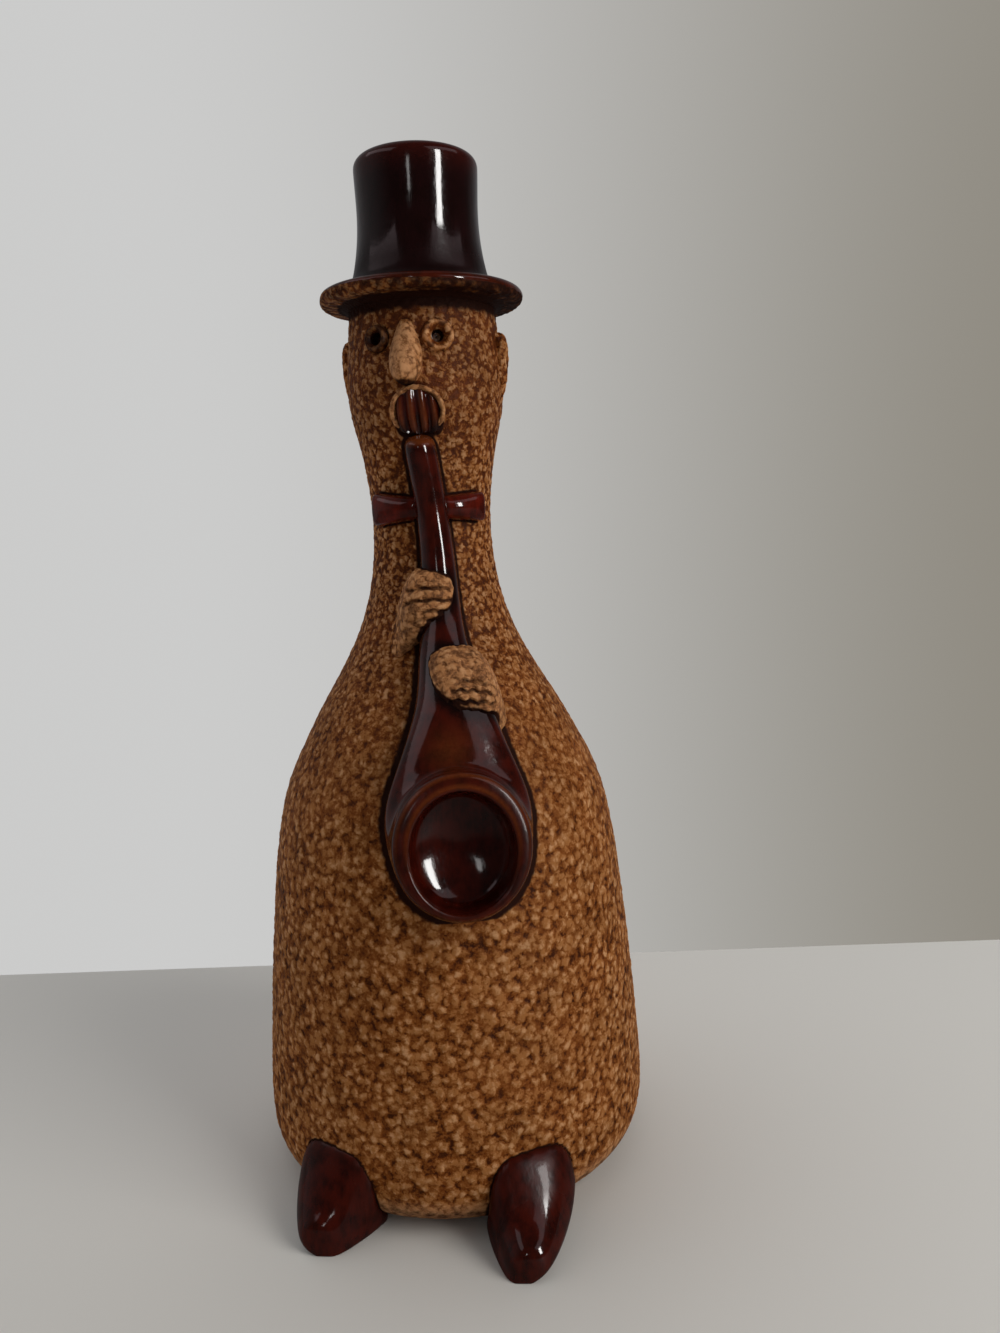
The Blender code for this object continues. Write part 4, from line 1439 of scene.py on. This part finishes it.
handForm = {
    "shape": ((-1.42, -1.02, 0.34, 0.00), (-1.02, -0.76, 0.74, 0.20), (-0.66, -0.42, 0.98, 0.52),
              (-0.25, -0.12, 1.06, 0.86), (0.20, 0.00, 1.02, 1.00), (0.60, 0.05, 0.90, 0.99),
              (0.88, 0.08, 0.70, 0.88), (1.00, 0.10, 0.46, 0.72)),
    "columns": 40,
    "rows": 24,
    "fullness": 2.6,            # of the section at the fingers, less towards the wrist
    "wristFullness": 1.6,
    "groove": 0.0010,
    "grooveWidth": 0.00050,
    "grooveDark": 0.66,
    "grooveEnds": 0.9,          # millimetres
    "carve": 0.75,
    "worn": 0.42,
}


def makeHand(name, size):
    steps, rows = handForm["columns"], handForm["rows"]
    height = size["height"] * body["height"]
    rings = []
    table = handForm["shape"]
    for k in range(rows + 1):
        along = table[0][0] + (table[-1][0] - table[0][0]) * k / rows
        drop, tall, relief = (smoothThrough([(row[0], row[column]) for row in table], along)
                              for column in (1, 2, 3))
        behind = max(-along, 0.0)
        drop *= size["fall"] if along < 0 else 1.0
        relief += size["wrist"] * math.sin(math.pi * behind / -table[0][0])
        half = tall * size["halfHeight"] * (1 - size["taper"] * behind)
        full = max(handForm["wristFullness"], handForm["fullness"] + min(along, 0.0) * 0.9)
        section = []
        for i in range(steps + 1):
            place = 2 * i / steps - 1
            cover = (1 - abs(place) ** full) ** (1.0 / full) if 0 < i < steps else 0.0
            section.append((place, size["relief"] * max(relief, 0.0) * cover))
        section += [(0.8, -sink), (-0.8, -sink)]
        rings.append([onBody(size["turn"], height + drop * size["halfHeight"] + half * place, lift,
                             along * size["side"] * size["halfWidth"])
                      for place, lift in section])
    hand = smoothOut(drawThrough(name, rings), 2)

    # wavy finger grooves, pressed in and darkened with painted shade
    places = vertexPlaces(hand)
    turn = math.radians(size["turn"])
    across = places[:, 0] * math.cos(turn) + places[:, 1] * math.sin(turn)
    outward = places[:, 0] * math.sin(turn) - places[:, 1] * math.cos(turn)
    rise = places[:, 2] - height - across * size["slant"]
    pressed = np.zeros(len(places))
    for index, (above, start, end, share) in enumerate(size["grooves"]):
        line = above / 1000 + size["wave"] * np.sin(across / size["waveLength"] * 2 * math.pi
                                                    + index * 1.9)
        line -= size["arch"] * ((across * 1000 - (start + end) / 2) / (end - start) * 2) ** 2
        inside = (ramp(across * 1000, start, handForm["grooveEnds"])
                  * ramp(across * 1000, end, -handForm["grooveEnds"]))
        pressed = np.maximum(pressed, share * inside * peak(rise, line, handForm["grooveWidth"]))
    pressed *= outward > bodyRadius(height) + 0.002
    places[:, 0] -= pressed * handForm["groove"] * math.sin(turn)
    places[:, 1] += pressed * handForm["groove"] * math.cos(turn)
    hand.data.vertices.foreach_set("co", places.astype(np.float32).ravel())
    hand.data.update()
    off = outward - bodyRadius(height)
    writeMask(hand, "worn", handForm["worn"] * ramp(off, 0.0020, 0.0040))
    writeMask(hand, "stainAndShade", pressed * handForm["grooveDark"])
    return carveEvenly(hand, handForm["carve"])


print("shoes")

shoes = {
    "left": {"rootTurn": -29.5, "toeTurn": -25.6, "reach": 0.0098},
    "right": {"rootTurn": 28.2, "toeTurn": 18.8, "reach": 0.0145},
}
shoeForm = {
    "halfWidth": 0.0136,
    "height": 0.0256,
    "soleEdge": 0.0034,
    "shinyToe": 0.0055,
    "satin": 0.80,                  # behind the toe
    "archSteps": 18,
    "soleInset": 0.72,
    "fullness": (0.50, 0.92),       # of the section at the body and at the toe
    "shape": ((0.00, 1.00, 1.00), (0.28, 0.95, 0.775), (0.50, 0.84, 0.57), (0.70, 0.69, 0.42),
              (0.86, 0.54, 0.34), (0.94, 0.43, 0.29), (0.985, 0.30, 0.21), (1.00, 0.14, 0.10)),
}


def shoeArch(fullness):
    wide, tall = shoeForm["halfWidth"], shoeForm["height"]
    sole = wide * shoeForm["soleInset"]
    arch = [(-sole * 0.9, 0.0), (-sole, 0.0), (-wide * 0.82, shoeForm["soleEdge"] * 0.5)]
    steps = shoeForm["archSteps"]
    for i in range(1, steps):
        angle = math.pi * (1 - i / steps)
        level = math.copysign(abs(math.cos(angle)) ** fullness, math.cos(angle))
        rise = max(tall * math.sin(angle) ** fullness, shoeForm["soleEdge"])
        level *= 0.82 + 0.18 * min(rise / (0.40 * tall), 1.0)
        arch.append((wide * level, rise))
    return arch + [(wide * 0.82, shoeForm["soleEdge"] * 0.5), (sole, 0.0), (sole * 0.9, 0.0)]


def makeShoe(name, place):
    toe = outwardAt(place["toeTurn"]) * (body["hemRadius"] + place["reach"])
    atRoot, atToe = shoeForm["fullness"]
    rings = []
    for share, width, rise in shoeForm["shape"]:
        arch = shoeArch(atRoot * (1 - share) + atToe * share)
        root = [onBody(place["rootTurn"], max(z, sink / 2), -sink, x) for x, z in arch]
        for point, (_, z) in zip(root, arch):
            point.z = z
        heel = (root[0] + root[-1]) / 2
        centre = heel.lerp(toe, share)
        rings.append([centre + Vector(((p - heel).x * width, (p - heel).y * (1 - share),
                                       (p - heel).z * rise)) for p in root])
    shoe = smoothOut(drawThrough(name, rings), 3)
    writeMask(shoe, "thin", convexEdges(shoe, 6, 0.22))
    places = vertexPlaces(shoe)
    toToe = body["hemRadius"] + place["reach"] - np.hypot(places[:, 0], places[:, 1])
    writeMask(shoe, "satin", shoeForm["satin"] * ramp(toToe, shoeForm["shinyToe"], 0.003))
    return shoe


pieces = {piece.name: finishPiece(piece, material) for piece, material in (
    (makeBrim(), makeBrimMaterial()),
    (makeCrown(), hatGlaze),
    (makeNose(), wornClay),
    (makeEar("earLeft", -1), earClay),
    (makeEar("earRight", 1), earClay),
    (makeEye("eyeLeft", -1), eyeClay),
    (makeEye("eyeRight", 1), eyeClay),
    (makeLips(), lipClay),
    (makeRibs(), mouthGlaze),
    (makeWing("bowWingLeft", -1), bowGlaze),
    (makeWing("bowWingRight", 1), bowGlaze),
    (makeKnot(), bowGlaze),
    (makeHorn(), hornGlaze),
    (makeHand("upperHand", hands["upper"]), handClay),
    (makeHand("lowerHand", hands["lower"]), handClay),
    (makeShoe("leftShoe", shoes["left"]), shoeGlaze),
    (makeShoe("rightShoe", shoes["right"]), shoeGlaze),
)}

print("skin, bands and stains")
bands = makeBody([eyeFrame(side)[:2] for side in (-1, 1)])

# how far the dark round each luted part reaches on the clay, in metres: partly glaze that bled,
# partly painted shadow
bleedAndShadow = {
    "saxophone": 0.0015, "bowWingLeft": 0.0006, "bowWingRight": 0.0007, "hatBrim": 0.0030,
    "leftShoe": 0.0006, "rightShoe": 0.0006, "mouthRibs": 0.0010,
}
stainsAndShades = {
    "onHands": 0.0010,                  # reach of the dark on the hands round the saxophone: bled glaze and painted shadow
    "onSaxophone": 0.0013,              # reach of the painted shadow of the hands on the saxophone
    "notch": (0.1950, 0.0006),          # height and width of the painted shadow ring under the tip's cap
    "notchDark": 0.8,
    "saxophoneLean": 0.18,              # more of it on the left than on the right, where the painted shadow falls
    "saxophoneSweep": (0.0, 0.003, 0.006, 0.009, 0.012, 0.015),    # towards the view
    "slimFrom": (0.125, 0.035),         # it gets slimmer from this height, over so much
    "slim": 2.1,
    "foot": (0.0120, -0.0035),
    "footWorn": 0.85,
    "footDark": 0.52,
    "forehead": 0.0125,                 # painted shadow of the brim on the forehead, so far down
    "foreheadDark": 0.62,
    "noseShade": (0.0034, 0.0014),      # half width and height
    "noseShadeTurn": 6.0,               # from the nose's turn
    "noseShadeDrop": 0.0008,
    "noseShadeDark": 0.8,
}


# darkens the clay round a piece, up to the outline that the piece has from the view: partly bled
# glaze, partly painted shadow
def stainAndShadeFrom(places, name, reach, lean=0.0, lifts=(0.0,)):
    mesh = pieces[name].data
    tree = BVHTree.FromPolygons([v.co for v in mesh.vertices], [p.vertices for p in mesh.polygons])
    result = np.zeros(len(places))
    box = np.array([v.co for v in mesh.vertices])
    low, high = box.min(0) - 3 * reach, box.max(0) + 3 * reach
    near = np.nonzero(((places > low) & (places < high)).all(1))[0]
    eye = viewPlace()
    for index in near:
        place = Vector(places[index])
        found = [tree.find_nearest(place + (eye - place).normalized() * lift, 3 * reach)
                 for lift in lifts]
        found = min((f for f in found if f[0] is not None), key=lambda f: f[3], default=None)
        if found is not None:
            aside = lean * math.tanh((found[0].x - place.x) / 0.001)
            slim = stainsAndShades["slim"] * lean * ramp(place.z, *stainsAndShades["slimFrom"])
            result[index] = math.exp(-(found[3] / (reach * (1 + aside - slim))) ** 3)
    return result


# the hands darken round the saxophone: bled glaze and painted shadow
for name in ("upperHand", "lowerHand"):
    places = vertexPlaces(pieces[name])
    grooves = np.empty(len(places), np.float32)
    pieces[name].data.attributes["stainAndShade"].data.foreach_get("value", grooves)
    writeMask(pieces[name], "stainAndShade", np.maximum(grooves, stainAndShadeFrom(places, "saxophone",
                                                                   stainsAndShades["onHands"])))

# painted shadow of the hands on the saxophone, and a painted shadow ring under its tip's cap
places = vertexPlaces(pieces["saxophone"])
dark = [stainAndShadeFrom(places, name, stainsAndShades["onSaxophone"]) for name in ("upperHand", "lowerHand")]
dark.append(peak(places[:, 2], *stainsAndShades["notch"]) * stainsAndShades["notchDark"])
writeMask(pieces["saxophone"], "dark", np.maximum.reduce(dark))

for band in bands:
    finishPiece(band, bodyClay)
    places = vertexPlaces(band)
    foot = ramp(places[:, 2], *stainsAndShades["foot"])
    writeMask(band, "worn", stainsAndShades["footWorn"] * foot)
    # painted shadow of the brim on the forehead
    forehead = ramp(places[:, 2], body["height"] - stainsAndShades["forehead"], stainsAndShades["forehead"])
    below = places - np.array(onBody(noseForm["turn"] + stainsAndShades["noseShadeTurn"],
                                     noseForm["top"] * body["height"] - noseForm["length"]
                                     - stainsAndShades["noseShadeDrop"]))
    width, tall = stainsAndShades["noseShade"]
    shade = peak(below[:, 0], 0.0, width) * peak(below[:, 2], 0.0, tall)
    dark = [stainsAndShades["footDark"] * foot, stainsAndShades["foreheadDark"] * forehead ** 1.4,
            np.where(below[:, 1] < 0.01, stainsAndShades["noseShadeDark"] * shade, 0.0)]
    for name, reach in bleedAndShadow.items():
        swept = (stainsAndShades["saxophoneLean"], stainsAndShades["saxophoneSweep"]) if name == "saxophone" else ()
        dark.append(stainAndShadeFrom(places, name, reach, *swept))
    writeMask(band, "stainAndShade", np.maximum.reduce(dark))
    print(band.name, "triangles", sum(len(p.vertices) - 2 for p in band.data.polygons))
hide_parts("figural_vase")

deselectAll()
